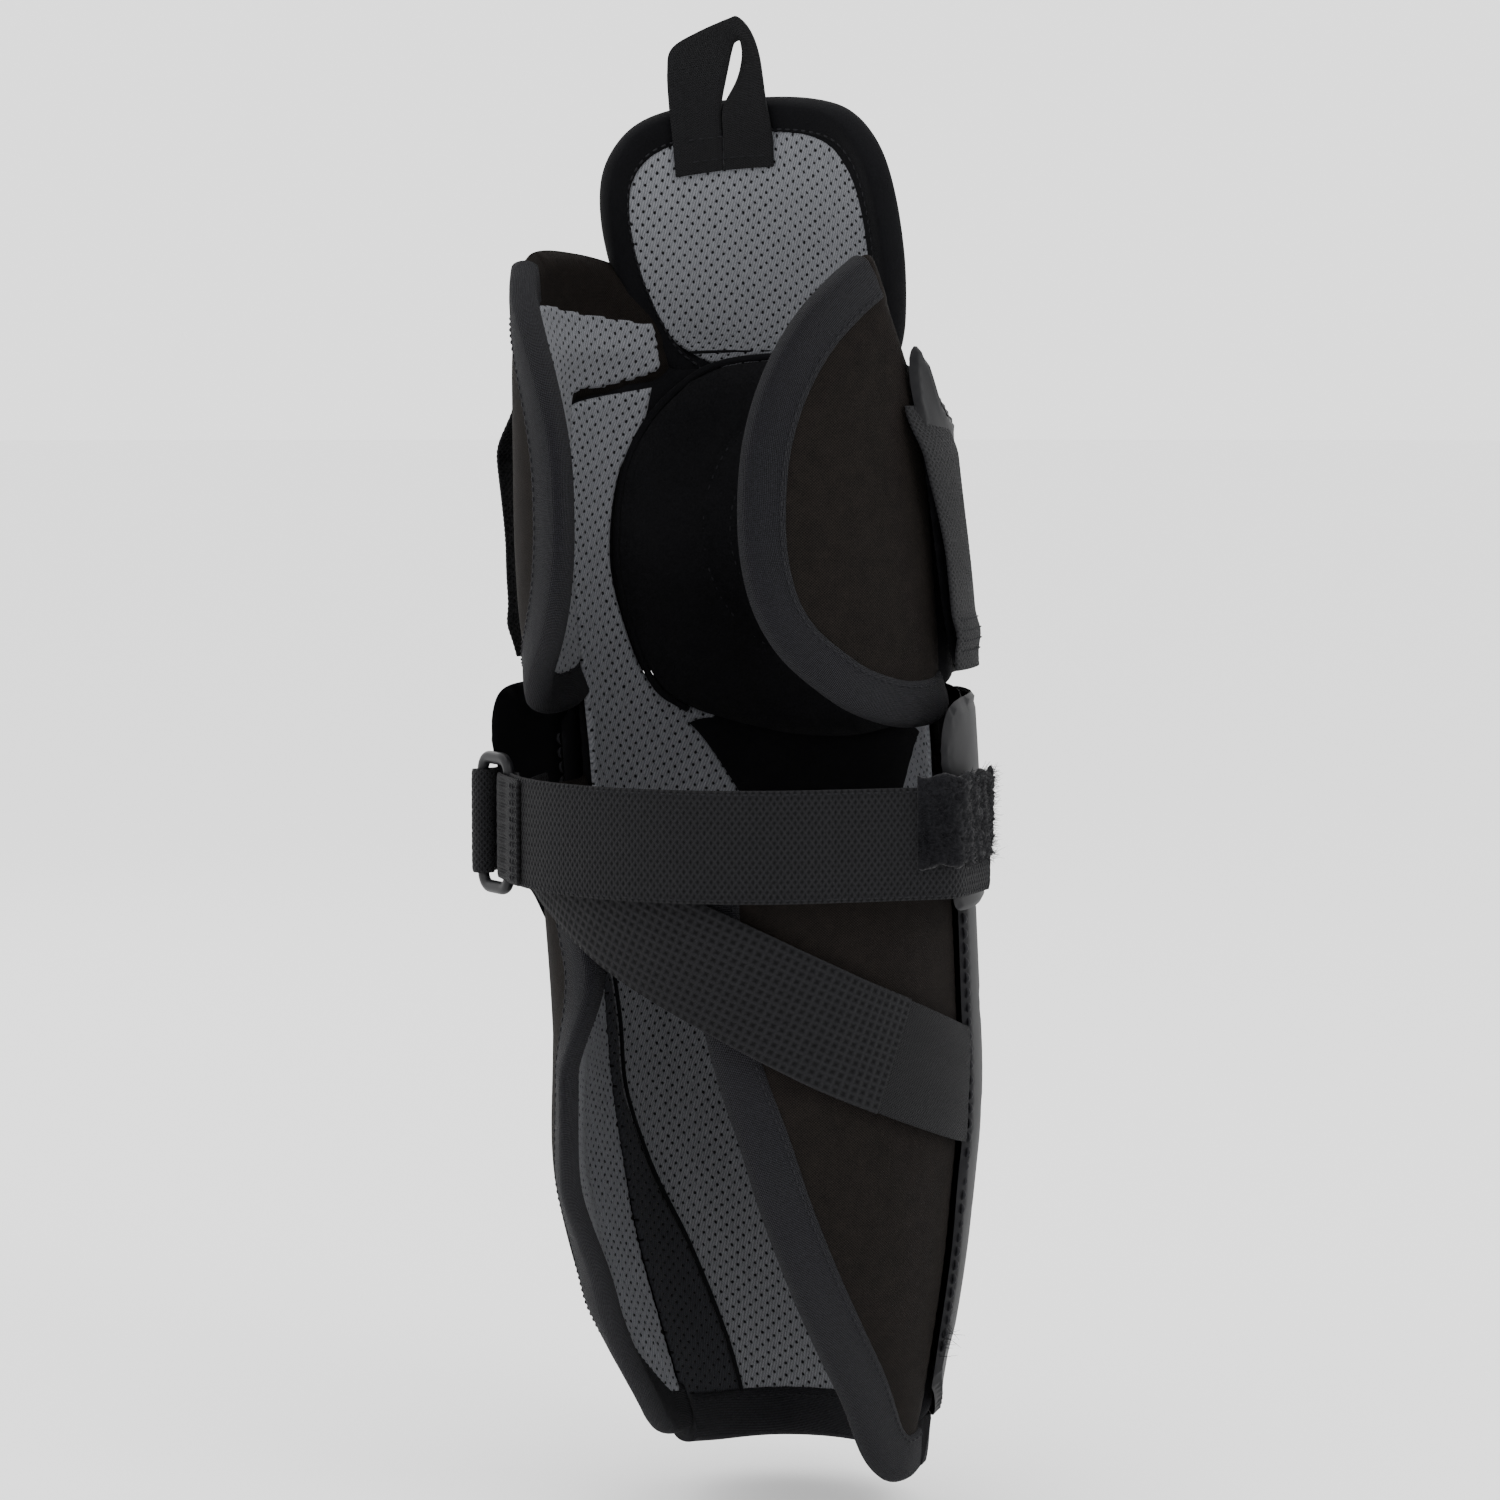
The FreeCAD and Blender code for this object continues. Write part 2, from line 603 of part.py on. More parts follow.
def make_knee_cap():
    """The cap follows the wall at its sides and is pushed forward between its foot and its top."""
    body = body_named("knee_cap_shell")
    levels = ((dim.cap_foot, dim.cap_lap_gap, dim.cap_edge_push),
              (dim.cap_belly_low, dim.cap_gap, dim.cap_push),
              (dim.cap_belly_high, dim.cap_gap, dim.cap_push),
              (dim.cap_top, dim.cap_gap, dim.cap_edge_push))
    sketches = []
    for number, (level, gap, push) in enumerate(levels):
        circle = station_at(level)
        inner = circle.radius + gap
        sketches.append(band_sketch(body, f"knee_cap_level_{number}", level, inner,
                                    inner + dim.cap_thickness, (as_size(0), circle.centre - push),
                                    -HALF_TURN - dim.cap_end, dim.cap_end))
    loft_through(body, sketches)
    keep_inside(body, "XZ_Plane", cap_corners())
    keep(body)


def cap_corners():
    half, chin, cheek, shoulder = dim.cap_side_half, dim.cap_chin_half, dim.cap_cheek_half, dim.cap_shoulder
    corner, rounding = dim.cap_corner, dim.cap_shoulder_rounding
    return [(-chin, dim.cap_foot, corner), (chin, dim.cap_foot, corner), (cheek, dim.cap_cheek, corner),
            (half, dim.cap_side_foot, 0), (half, shoulder, 0), (shoulder, dim.cap_top, rounding),
            (-shoulder, dim.cap_top, rounding), (-half, shoulder, 0), (-half, dim.cap_side_foot, 0),
            (-cheek, dim.cap_cheek, corner)]


def make_keepers():
    """Webbing strips between the knee cap and the wings, one on each side."""
    for side in (LEFT, RIGHT):
        keeper = wall(f"cap_keeper_{SIDE_NAMES[side]}", dim.keeper_gap, dim.keeper_gap + dim.keeper_thickness,
                      dim.keeper_start, dim.keeper_end, dim.keeper_foot, dim.keeper_top, side)
        keep(keeper)


def make_knee_liner():
    inner = -dim.liner_thickness
    keep(front_wall("knee_liner_foam", inner, as_size(0), dim.liner_end, dim.knee_liner_foot,
                    dim.knee_liner_top))
    keep(front_wall("knee_top_band", inner, as_size(0), dim.top_band_end, dim.knee_liner_top,
                    dim.knee_liner_top + dim.top_band_height))
    for side in (LEFT, RIGHT):
        mesh = wall(f"knee_mesh_{SIDE_NAMES[side]}", inner - dim.mesh_thickness, inner,
                    dim.knee_mesh_start, dim.liner_end, dim.knee_liner_foot, dim.knee_liner_top, side)
        keep(mesh)


def make_knee_pad():
    inner = -dim.liner_thickness - dim.knee_pad_thickness
    pad = wall("knee_pad", inner, -dim.liner_thickness, dim.knee_pad_start,
               -HALF_TURN - dim.knee_pad_start, dim.knee_pad_foot, dim.knee_pad_top)
    half = dim.knee_pad_half_width
    rounding = dim.knee_pad_rounding
    keep_inside(pad, "XZ_Plane", [(-half, dim.knee_pad_foot, rounding), (half, dim.knee_pad_foot, rounding),
                                  (half, dim.knee_pad_top, rounding), (-half, dim.knee_pad_top, rounding)])
    keep(pad)


def make_knee_ring():
    """A raised foam ring round the knee, on the pad's inner face."""
    outer = -dim.liner_thickness - dim.knee_pad_thickness
    ring = wall("knee_ring", outer - dim.knee_ring_thickness, outer, dim.knee_pad_start,
                -HALF_TURN - dim.knee_pad_start, dim.knee_pad_foot, dim.knee_liner_top)
    sketch = circle_sketch(ring, "XZ_Plane", "knee_ring_outline", as_size(0), dim.knee_ring_level,
                           dim.knee_ring_radius)
    frame_outline(sketch)
    cut_through(ring, sketch)
    opening = circle_sketch(ring, "XZ_Plane", "knee_ring_hole", as_size(0), dim.knee_ring_level,
                            dim.knee_ring_hole)
    cut_through(ring, opening)
    keep(ring)


# Wings: each has a canvas cover, a foam core, a mesh lining and a binding round its free edge.

def inset(corners, moves, width):
    """Draw an outline in by the binding's width, each corner by its own share across and up."""
    drawn_in = []
    for (across, up, rounding), (share_across, share_up) in zip(corners, moves):
        rounding = as_size(rounding)
        smaller = rounding - width if rounding.value > width.value else dim.inset_rounding
        drawn_in.append((across - share_across * width, up - share_up * width, smaller))
    return drawn_in


def knee_wing_corners():
    back, foot, top = dim.knee_wing_back, dim.knee_wing_foot, dim.knee_wing_top
    return [(-dim.wing_cut, foot, 0), (back, foot, dim.knee_wing_rounding),
            (back, top, dim.knee_wing_crown), (dim.knee_wing_front, top, dim.knee_wing_tip),
            (dim.knee_wing_throat, dim.knee_wing_waist, 0)]


def calf_wing_corners():
    front, back, corner = dim.calf_wing_front, dim.calf_wing_back, dim.calf_wing_corner
    return [(front, dim.calf_wing_foot, 0), (dim.calf_wing_foot_back, dim.calf_wing_foot, corner),
            (dim.calf_wing_bend_back, dim.calf_wing_bend_level, dim.calf_wing_bend_rounding),
            (back, dim.calf_wing_turn, dim.calf_wing_turn_rounding),
            (back, dim.calf_wing_top, corner), (front, dim.calf_wing_top, 0)]


def make_wing(name, side, corners, moves, end):
    """The layers of a wing lie inside the binding, which is the rim of the whole outline."""
    low = corners[0][1]
    high = max((up for _, up, _ in corners), key=lambda up: up.value)
    inside = inset(corners, moves, dim.binding_width)
    foam_inner = -dim.liner_thickness
    inner = foam_inner - dim.mesh_thickness
    layers = (("canvas", -dim.canvas_thickness, as_size(0)), ("foam", foam_inner, -dim.canvas_thickness),
              ("mesh", inner, foam_inner))
    for layer, near, far in layers:
        piece = wall(f"{name}_{layer}", near, far, dim.wing_start, end, low, high, side)
        keep_inside(piece, "YZ_Plane", inside)
        keep(piece)
    binding = wall(f"{name}_binding", inner, as_size(0), dim.wing_start, end, low, high, side)
    keep_inside(binding, "YZ_Plane", corners)
    cut_inside(binding, "YZ_Plane", inside)
    keep(binding)


def make_wings():
    for side in (LEFT, RIGHT):
        name = SIDE_NAMES[side]
        make_wing(f"knee_wing_{name}", side, knee_wing_corners(), KNEE_WING_INSETS, dim.knee_wing_end)
        make_wing(f"calf_wing_{name}", side, calf_wing_corners(), CALF_WING_INSETS, dim.calf_wing_end)


# Thigh flap and pull loop, built upright and leaned back about the hinge line.

def lean_back(piece):
    """Turn a piece about the flap's hinge line, which is parallel to X."""
    axis = FreeCAD.Vector(1, 0, 0)
    hinge = FreeCAD.Vector(0, dim.thigh_front.value, dim.thigh_hinge.value)
    turn = FreeCAD.Rotation(axis, -dim.thigh_lean.value)
    piece.Placement = FreeCAD.Placement(FreeCAD.Vector(0, 0, 0), turn, hinge)


def thigh_corners():
    foot_half, wide_half, top_half = dim.thigh_foot_half, dim.thigh_wide_half, dim.thigh_top_half
    corner, foot_corner = dim.thigh_corner, dim.thigh_foot_corner
    return [(-foot_half, dim.thigh_foot, foot_corner), (foot_half, dim.thigh_foot, foot_corner),
            (wide_half, dim.thigh_wide_level, corner), (top_half, dim.thigh_top, corner),
            (-top_half, dim.thigh_top, corner), (-wide_half, dim.thigh_wide_level, corner)]


def thigh_band(label, inner, outer, middle, half_angle, low, high):
    """A band of the upright flap. Offsets count from its outer face, which is at the hinge line's front."""
    body = body_named(label)
    centre = (as_size(0), dim.thigh_front + dim.thigh_radius)
    sketch = band_sketch(body, f"{label}_plan", low, dim.thigh_radius + inner, dim.thigh_radius + outer,
                         centre, middle - half_angle, middle + half_angle)
    pad_sketch(body, sketch, high - low)
    return body


def make_thigh_flap():
    cover = dim.canvas_thickness
    foam_inner = -dim.thigh_foam_thickness
    inner = foam_inner - dim.mesh_thickness
    corners = thigh_corners()
    inside = inset(corners, THIGH_INSETS, dim.thigh_rim)
    extent = (dim.front_middle, dim.thigh_half_angle, dim.thigh_foot, dim.thigh_top)
    for layer, near, far in (("cover", -cover, as_size(0)), ("foam", foam_inner, -cover),
                             ("mesh", inner, foam_inner)):
        piece = thigh_band(f"thigh_{layer}", near, far, *extent)
        keep_inside(piece, "XZ_Plane", inside)
        lean_back(piece)
        keep(piece)
    binding = thigh_band("thigh_binding", inner, as_size(0), *extent)
    keep_inside(binding, "XZ_Plane", corners)
    cut_inside(binding, "XZ_Plane", inside)
    lean_back(binding)
    keep(binding)


def upright_plate(label, front, thickness, corners):
    """A flat plate facing along Y, with an outline seen from the front."""
    body = body_named(label)
    sketch = sketch_on(body, "XZ_Plane", f"{label}_outline", -front)
    outline(sketch, corners)
    pad = pad_sketch(body, sketch, thickness)
    pad.Reversed = True
    document.recompute()
    return body


def make_pull_loop():
    """A flat tape loop above the flap, and its tails, which are sewn on the flap's inner face."""
    left, right = dim.loop_side - dim.loop_half_width, dim.loop_side + dim.loop_half_width
    foot = dim.thigh_top + dim.loop_gap
    top = foot + dim.loop_height
    inner_offset = dim.thigh_foam_thickness + dim.mesh_thickness
    loop = upright_plate("pull_loop", dim.thigh_front + inner_offset - dim.loop_thickness,
                         dim.loop_thickness, [(left, foot, 0), (right, foot, 0),
                                              (right, top, dim.loop_corner), (left, top, dim.loop_corner)])
    near_side, far_side = dim.loop_side - dim.loop_slot_half, dim.loop_side + dim.loop_slot_half
    slot_foot, slot_top = foot + dim.loop_slot_foot, foot + dim.loop_slot_top
    corner = dim.loop_slot_corner
    cut_inside(loop, "XZ_Plane", [(near_side, slot_foot, corner), (far_side, slot_foot, corner),
                                  (far_side, slot_top, corner), (near_side, slot_top, corner)])
    lean_back(loop)
    keep(loop)
    near = -inner_offset - dim.piece_gap
    tails = thigh_band("loop_tails", near - dim.tail_thickness, near, dim.tail_middle, dim.tail_half_angle,
                       dim.tail_foot, dim.tail_top)
    document.recompute()
    lean_back(tails)
    keep(tails)


# Ring and straps.

def make_strap_ring():
    """A rectangular ring: two round upright bars joined by a flat bar above and below the webbing."""
    body = body_named("strap_ring")
    low, high = dim.strap_foot - dim.ring_reach, dim.strap_top + dim.ring_reach
    bars = ((dim.ring_front_x, dim.ring_front_y), (dim.ring_back_x, dim.ring_back_y))
    for number, (across, back) in enumerate(bars):
        bar = circle_sketch(body, "XY_Plane", f"ring_bar_{number}", across, back, dim.ring_bar)
        raise_sketch(bar, low)
        pad_sketch(body, bar, high - low)
    for number, level in enumerate((low, high - 2 * dim.ring_bar)):
        bridge = sketch_on(body, "XY_Plane", f"ring_bridge_{number}", level)
        outline(bridge, bridge_corners())
        pad_sketch(body, bridge, 2 * dim.ring_bar)
    document.recompute()
    keep(body)


def bridge_corners():
    """The flat bar's plan: a slanted rectangle as wide as the round bars, from one to the other."""
    run = dim.ring_back_x - dim.ring_front_x
    rise = dim.ring_back_y - dim.ring_front_y
    length = math.hypot(run.value, rise.value)
    side_x = -rise * dim.ring_bar / length
    side_y = run * dim.ring_bar / length
    return [(dim.ring_front_x + side_x, dim.ring_front_y + side_y, 0),
            (dim.ring_back_x + side_x, dim.ring_back_y + side_y, 0),
            (dim.ring_back_x - side_x, dim.ring_back_y - side_y, 0),
            (dim.ring_front_x - side_x, dim.ring_front_y - side_y, 0)]


def strap_point(radius, angle):
    return radius * cosine(angle), dim.strap_centre + radius * sine(angle)


def make_upper_strap():
    """The strap runs round the calf, straight to the right ear's back edge, and along the ear."""
    height = dim.strap_top - dim.strap_foot
    inner, outer = dim.strap_radius, dim.strap_radius + dim.strap_thickness
    strap = body_named("upper_strap")
    arc = band_sketch(strap, "upper_strap_arc", dim.strap_foot, inner, outer,
                      (as_size(0), dim.strap_centre), dim.strap_start, dim.strap_leave)
    pad_sketch(strap, arc, height)
    near, far = strap_point(inner, dim.strap_leave), strap_point(outer, dim.strap_leave)
    half = dim.strap_thickness / 2
    corner_in = (dim.strap_corner_x + half, dim.strap_corner_y - half)
    corner_out = (dim.strap_corner_x - half, dim.strap_corner_y + half)
    straight = sketch_on(strap, "XY_Plane", "upper_strap_straight", dim.strap_foot)
    outline(straight, [(*near, 0), (*far, 0), (*corner_out, 0), (*corner_in, 0)])
    pad_sketch(strap, straight, height)
    tab = sketch_on(strap, "XY_Plane", "upper_strap_tab", dim.strap_foot)
    outline(tab, [(*corner_in, 0), (*corner_out, 0),
                  (dim.strap_tip_x - dim.strap_thickness, dim.strap_tip_y, 0),
                  (dim.strap_tip_x, dim.strap_tip_y, 0)])
    pad_sketch(strap, tab, height)
    document.recompute()
    keep(strap)


def make_strap_patch():
    """The fuzzy patch on the outside of the strap's end."""
    patch = body_named("strap_fuzzy_patch")
    thickness, cover = dim.strap_thickness, dim.patch_thickness
    sketch = sketch_on(patch, "XY_Plane", "strap_fuzzy_patch_plan", dim.strap_foot + dim.patch_margin)
    near = dim.strap_corner_x - thickness / 2 - dim.piece_gap
    tip = dim.strap_tip_x - thickness - dim.piece_gap
    outline(sketch, [(near, dim.strap_corner_y, 0), (near - cover, dim.strap_corner_y, 0),
                     (tip - cover, dim.strap_tip_y, 0), (tip, dim.strap_tip_y, 0)])
    pad_sketch(patch, sketch, dim.strap_top - dim.strap_foot - 2 * dim.patch_margin)
    document.recompute()
    keep(patch)


def make_strap_fold():
    """The strap's near end, folded round the ring's back bar and sewn to itself."""
    fold = body_named("strap_fold")
    outer = dim.ring_bar + dim.ring_play + dim.sleeve_wall
    sleeve = circle_sketch(fold, "XY_Plane", "strap_fold_sleeve", dim.ring_back_x, dim.ring_back_y, outer)
    raise_sketch(sleeve, dim.strap_foot)
    pad_sketch(fold, sleeve, dim.strap_top - dim.strap_foot)
    near = strap_point(dim.strap_radius, dim.strap_start)
    far = strap_point(dim.strap_radius + dim.strap_thickness, dim.strap_start)
    tail = sketch_on(fold, "XY_Plane", "strap_fold_tail", dim.strap_foot)
    half = dim.fold_half
    outline(tail, [(*near, 0), (dim.ring_back_x - half, dim.ring_back_y + dim.ring_bar - half, 0),
                   (dim.ring_back_x + half, dim.ring_back_y + outer - dim.fold_skim, 0), (*far, 0)])
    pad_sketch(fold, tail, dim.strap_top - dim.strap_foot)
    bore = circle_sketch(fold, "XY_Plane", "strap_fold_bore", dim.ring_back_x, dim.ring_back_y,
                         dim.ring_bar + dim.ring_play)
    cut_through(fold, bore)
    keep(fold)


def lower_strap_corners():
    return [(dim.lower_far_x, dim.lower_far_foot, 0),
            (dim.lower_bend_foot_x, dim.lower_bend_foot, dim.lower_bend_foot_rounding),
            (dim.lower_root_x, dim.lower_root_foot, 0), (dim.lower_root_x, dim.lower_top, 0),
            (dim.lower_bend_x, dim.lower_top, dim.lower_bend_rounding),
            (dim.lower_far_x, dim.lower_far_top, 0)]


def lower_strap_band(label, start, side_cut):
    """A stretch of the lower strap. The side cut is the X between which and its reach all is removed."""
    inner = dim.lower_gap
    foot = dim.lower_far_foot - dim.cut_overlap
    strap = wall(label, inner, inner + dim.strap_thickness, start, dim.lower_end, foot, dim.lower_top)
    keep_inside(strap, "XZ_Plane", lower_strap_corners())
    reach, edge = dim.cut_reach, dim.lower_tab_x
    low, high = (edge, reach) if side_cut == LEFT else (-reach, edge)
    cut_inside(strap, "XZ_Plane", [(low, -reach, 0), (high, -reach, 0), (high, reach, 0), (low, reach, 0)])
    keep(strap)


def make_lower_strap():
    """The lower strap is a slanting band just outside the calf wings, under the upper strap on the left."""
    lower_strap_band("lower_strap", dim.lower_start, RIGHT)
    lower_strap_band("lower_strap_tab", dim.lower_tab_start, LEFT)
    inner = dim.lower_gap
    root = wall("lower_strap_root", inner, inner + dim.strap_thickness, dim.lower_root_start,
                dim.lower_root_end, dim.lower_root_foot, dim.lower_top)
    keep(root)


def check_model():
    """Stop if any object failed or any piece is not one or more valid solids."""
    document.recompute()
    for item in document.Objects:
        if "Invalid" in item.State or "Error" in item.State:
            raise RuntimeError(f"{item.Label} failed: {item.State}")
    for piece in pieces:
        shape = piece.Shape
        if shape.isNull() or not shape.isValid() or not shape.Solids:
            raise RuntimeError(f"{piece.Label} has no valid solid")


def export_pieces():
    os.makedirs("parts", exist_ok=True)
    for piece in pieces:
        piece.Shape.exportStep(f"parts/{piece.Label}.step")
        box = piece.Shape.BoundBox
        print(f"{piece.Label:24s} solids {len(piece.Shape.Solids)} volume {piece.Shape.Volume:9.0f} "
              f"X {box.XMin:6.1f} {box.XMax:6.1f} Y {box.YMin:6.1f} {box.YMax:6.1f} "
              f"Z {box.ZMin:7.1f} {box.ZMax:6.1f}")


def main():
    make_shin_shell()
    make_shin_ridge()
    make_shin_liner()
    make_ears()
    make_rivets()
    make_hook_patch()
    make_ring_anchor()
    make_knee_cap()
    make_keepers()
    make_knee_liner()
    make_knee_pad()
    make_knee_ring()
    make_wings()
    make_thigh_flap()
    make_pull_loop()
    make_strap_ring()
    make_upper_strap()
    make_strap_patch()
    make_strap_fold()
    make_lower_strap()
    check_model()
    export_pieces()


main()
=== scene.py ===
import math

import bmesh
import bpy
import numpy as np
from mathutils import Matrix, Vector, geometry


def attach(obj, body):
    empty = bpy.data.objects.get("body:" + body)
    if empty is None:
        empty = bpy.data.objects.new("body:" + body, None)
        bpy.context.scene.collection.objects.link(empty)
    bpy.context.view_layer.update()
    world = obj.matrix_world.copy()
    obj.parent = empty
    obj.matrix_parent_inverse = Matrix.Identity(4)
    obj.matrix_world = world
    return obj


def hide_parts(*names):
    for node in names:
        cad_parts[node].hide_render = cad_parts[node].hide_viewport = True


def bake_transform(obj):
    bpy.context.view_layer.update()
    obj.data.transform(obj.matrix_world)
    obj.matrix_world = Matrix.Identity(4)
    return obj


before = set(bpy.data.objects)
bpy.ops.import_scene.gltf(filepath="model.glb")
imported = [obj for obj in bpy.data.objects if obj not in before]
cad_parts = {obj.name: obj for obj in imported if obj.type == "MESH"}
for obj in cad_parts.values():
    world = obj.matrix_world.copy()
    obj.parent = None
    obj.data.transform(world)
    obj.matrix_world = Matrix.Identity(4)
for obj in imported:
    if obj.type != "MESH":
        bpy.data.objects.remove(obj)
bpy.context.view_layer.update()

# Hockey shin guard in metres, +Z up the leg and +Y towards the calf. Shapes are worked out in millimetres
# on the wall round the leg: at each level it follows a circle, and a place on it is an angle (from +X
# towards +Y, so the right side's are mirrored), a level and an offset from the wall's outer face.

MM = 0.001
LEVELS = (-325, -250, -190, -60, 0, 110)
RADII = (49, 66, 74, 75, 74.5, 72)
CENTRES = (-39, -26, -20, -2, 9, 16)
LEFT, RIGHT = 1, -1
SIDES = {LEFT: "left", RIGHT: "right"}
rng = np.random.default_rng(7)


def circle(z):
    """Radius and centre of the wall's circle, with the stations' corners rounded off."""
    z = np.asarray(z, float)
    spread = (-16, -8, 0, 8, 16)
    radius = sum(np.interp(z + d, LEVELS, RADII) for d in spread) / len(spread)
    centre = sum(np.interp(z + d, LEVELS, CENTRES) for d in spread) / len(spread)
    return radius, centre


def wall(angle, z, offset, side=LEFT):
    angle, z, offset = np.broadcast_arrays(np.radians(angle), np.asarray(z, float), offset)
    radius, centre = circle(z)
    x = (radius + offset) * np.cos(angle) * side
    return np.stack([x, centre + (radius + offset) * np.sin(angle), z], -1)


def unrolled(angle, z):
    """Arc length along the wall, in millimetres, for an angle at a level."""
    return np.radians(angle) * circle(z)[0]


def angle_of(flat):
    """The wall's angle at points given as (arc length, level), in degrees."""
    return np.degrees(flat[:, 0] / circle(flat[:, 1])[0])


def wall_place(side=LEFT):
    def place(flat, offset):
        return wall(angle_of(flat), flat[:, 1], offset, side)
    return place


def wall_outline(points):
    """An outline given as (angle, level) becomes one of (arc length, level)."""
    points = np.array(points, float)
    return np.stack([unrolled(points[:, 0], points[:, 1]), points[:, 1]], -1)


def smooth_step(x, low, high):
    t = np.clip((np.asarray(x, float) - low) / (high - low), 0, 1)
    return t * t * (3 - 2 * t)


def rounding(edge, reach):
    """A quarter circle's rise from 0 at the edge to 1 at the reach."""
    return np.sqrt(1 - (1 - np.clip(edge / reach, 0, 1)) ** 2)


def hump(x, centre, width):
    """A rounded hump, 1 high at its centre."""
    return np.exp(-((x - centre) / width) ** 2)


# Curves.

def lengths(points):
    """The distance along a polyline at each of its points."""
    return np.concatenate([[0], np.cumsum(np.linalg.norm(np.diff(points, axis=0), axis=1))])


def evenly(points, count, closed=False):
    """Points spaced evenly along a polyline."""
    points = np.asarray(points, float)
    if closed:
        points = np.vstack([points, points[:1]])
    run = lengths(points)
    at = np.linspace(0, run[-1], count, endpoint=not closed)
    return np.stack([np.interp(at, run, points[:, k]) for k in range(points.shape[1])], -1)


def curve(points, pitch=2.0, closed=False):
    """A smooth curve through the points, sampled about every pitch."""
    points = np.asarray(points, float)
    n = len(points)
    if closed:
        ring = np.vstack([points[-1:], points, points[:2]])
    else:
        ring = np.vstack([2 * points[:1] - points[1:2], points, 2 * points[-1:] - points[-2:-1]])
    t = np.linspace(0, 1, 12, endpoint=False)[:, None]
    pieces = []
    for k in range(n if closed else n - 1):
        a, b, c, d = ring[k:k + 4]
        pieces.append(0.5 * (2 * b + (c - a) * t + (2 * a - 5 * b + 4 * c - d) * t ** 2
                             + (3 * b - a - 3 * c + d) * t ** 3))
    line = np.vstack(pieces + ([] if closed else [points[-1:]]))
    ends = np.vstack([line, line[:1]]) if closed else line
    length = np.linalg.norm(np.diff(ends, axis=0), axis=1).sum()
    return evenly(line, max(8, int(length / pitch)), closed)


def depth(points, line, closed=True):
    """How far each point is from a line, which is a closed outline or an open one."""
    ends = np.roll(line, -1, 0) if closed else line[1:]
    best = np.full(len(points), 1e9)
    for start, end in zip(line, ends):
        run = end - start
        t = np.clip(((points - start) @ run) / max(run @ run, 1e-9), 0, 1)
        best = np.minimum(best, np.linalg.norm(points - start - t[:, None] * run, axis=1))
    return best


def inward(outline, distance, closed=True):
    """Each point of an outline moved in along its normal. The outline runs anticlockwise."""
    if closed:
        tangent = np.roll(outline, -1, 0) - np.roll(outline, 1, 0)
    else:
        tangent = np.gradient(outline, axis=0)
    tangent /= np.linalg.norm(tangent, axis=1)[:, None]
    normal = np.stack([-tangent[:, 1], tangent[:, 0]], -1)
    return outline + normal * distance


def inside(points, outline):
    result = np.zeros(len(points), bool)
    x, y = points[:, 0], points[:, 1]
    for (x0, y0), (x1, y1) in zip(outline, np.roll(outline, -1, 0)):
        crosses = (y0 > y) != (y1 > y)
        with np.errstate(divide="ignore", invalid="ignore"):
            result ^= crosses & (x < (x1 - x0) * (y - y0) / (y1 - y0) + x0)
    return result


def fill(outline, pitch):
    """Triangles over an outline. Returns the flat points, with the outline's first, and the triangles."""
    low, high = outline.min(0), outline.max(0)
    rows = np.arange(low[1], high[1], pitch * 0.866)
    grid = []
    for number, row in enumerate(rows):
        shift = pitch / 2 * (number % 2)
        across = np.arange(low[0] + shift, high[0], pitch)
        grid.append(np.stack([across, np.full(len(across), row)], -1))
    grid = np.vstack(grid)
    grid = grid[inside(grid, outline)]
    grid = grid[depth(grid, outline) > pitch * 0.55]
    points = np.vstack([outline, grid])
    n = len(outline)
    edges = [(k, (k + 1) % n) for k in range(n)]
    made = geometry.delaunay_2d_cdt([Vector(p) for p in points], edges, [], 1, 1e-5)
    flat = np.array([tuple(v) for v in made[0]])
    faces = [tuple(f) for f in made[2]]
    centre = np.array([flat[list(f)].mean(0) for f in faces])
    keep = inside(centre, outline)
    faces = [f for f, k in zip(faces, keep) if k]
    return flat, faces


# Pieces.

def piece(name, points, faces, material, uv=None, smooth=True):
    """A mesh piece from points in millimetres."""
    mesh = bpy.data.meshes.new(name)
    mesh.from_pydata((np.asarray(points) * MM).tolist(), [], faces)
    mesh.update()
    thing = bpy.data.objects.new(name, mesh)
    bpy.context.scene.collection.objects.link(thing)
    mesh.materials.append(material)
    if uv is not None:
        layer = mesh.uv_layers.new(name="weave")
        index = np.zeros(len(mesh.loops), int)
        mesh.loops.foreach_get("vertex_index", index)
        layer.data.foreach_set("uv", (np.asarray(uv)[index] * 0.01).astype(np.float32).ravel())
    mesh.polygons.foreach_set("use_smooth", [smooth] * len(mesh.polygons))
    return thing


def grid_faces(rows, columns, closed=False, offset=0):
    faces = []
    for r in range(rows - 1):
        for c in range(columns if closed else columns - 1):
            d = (c + 1) % columns
            faces.append((offset + r * columns + c, offset + r * columns + d,
                          offset + (r + 1) * columns + d, offset + (r + 1) * columns + c))
    return faces


def closed_sheet(name, flat, faces, place, outer, inner, material):
    """A closed piece: the same triangles on an outer and an inner face, joined along the outline.
    Outer and inner give the two offsets of each flat point. They're the same along the outline."""
    rim = np.abs(outer - inner) < 1e-6
    top = place(flat, outer)
    bottom = place(flat, inner)
    number = np.where(rim, np.arange(len(flat)), len(flat) + np.cumsum(~rim) - 1)
    points = np.vstack([top, bottom[~rim]])
    uv = np.vstack([flat, flat[~rim]])
    back = [tuple(number[list(f)][::-1]) for f in faces]
    return piece(name, points, list(faces) + [tuple(int(k) for k in f) for f in back], material, uv)


def fix_normals(thing):
    bpy.context.view_layer.objects.active = thing
    thing.select_set(True)
    bpy.ops.object.mode_set(mode="EDIT")
    bpy.ops.mesh.select_all(action="SELECT")
    bpy.ops.mesh.normals_make_consistent(inside=False)
    bpy.ops.object.mode_set(mode="OBJECT")
    thing.select_set(False)


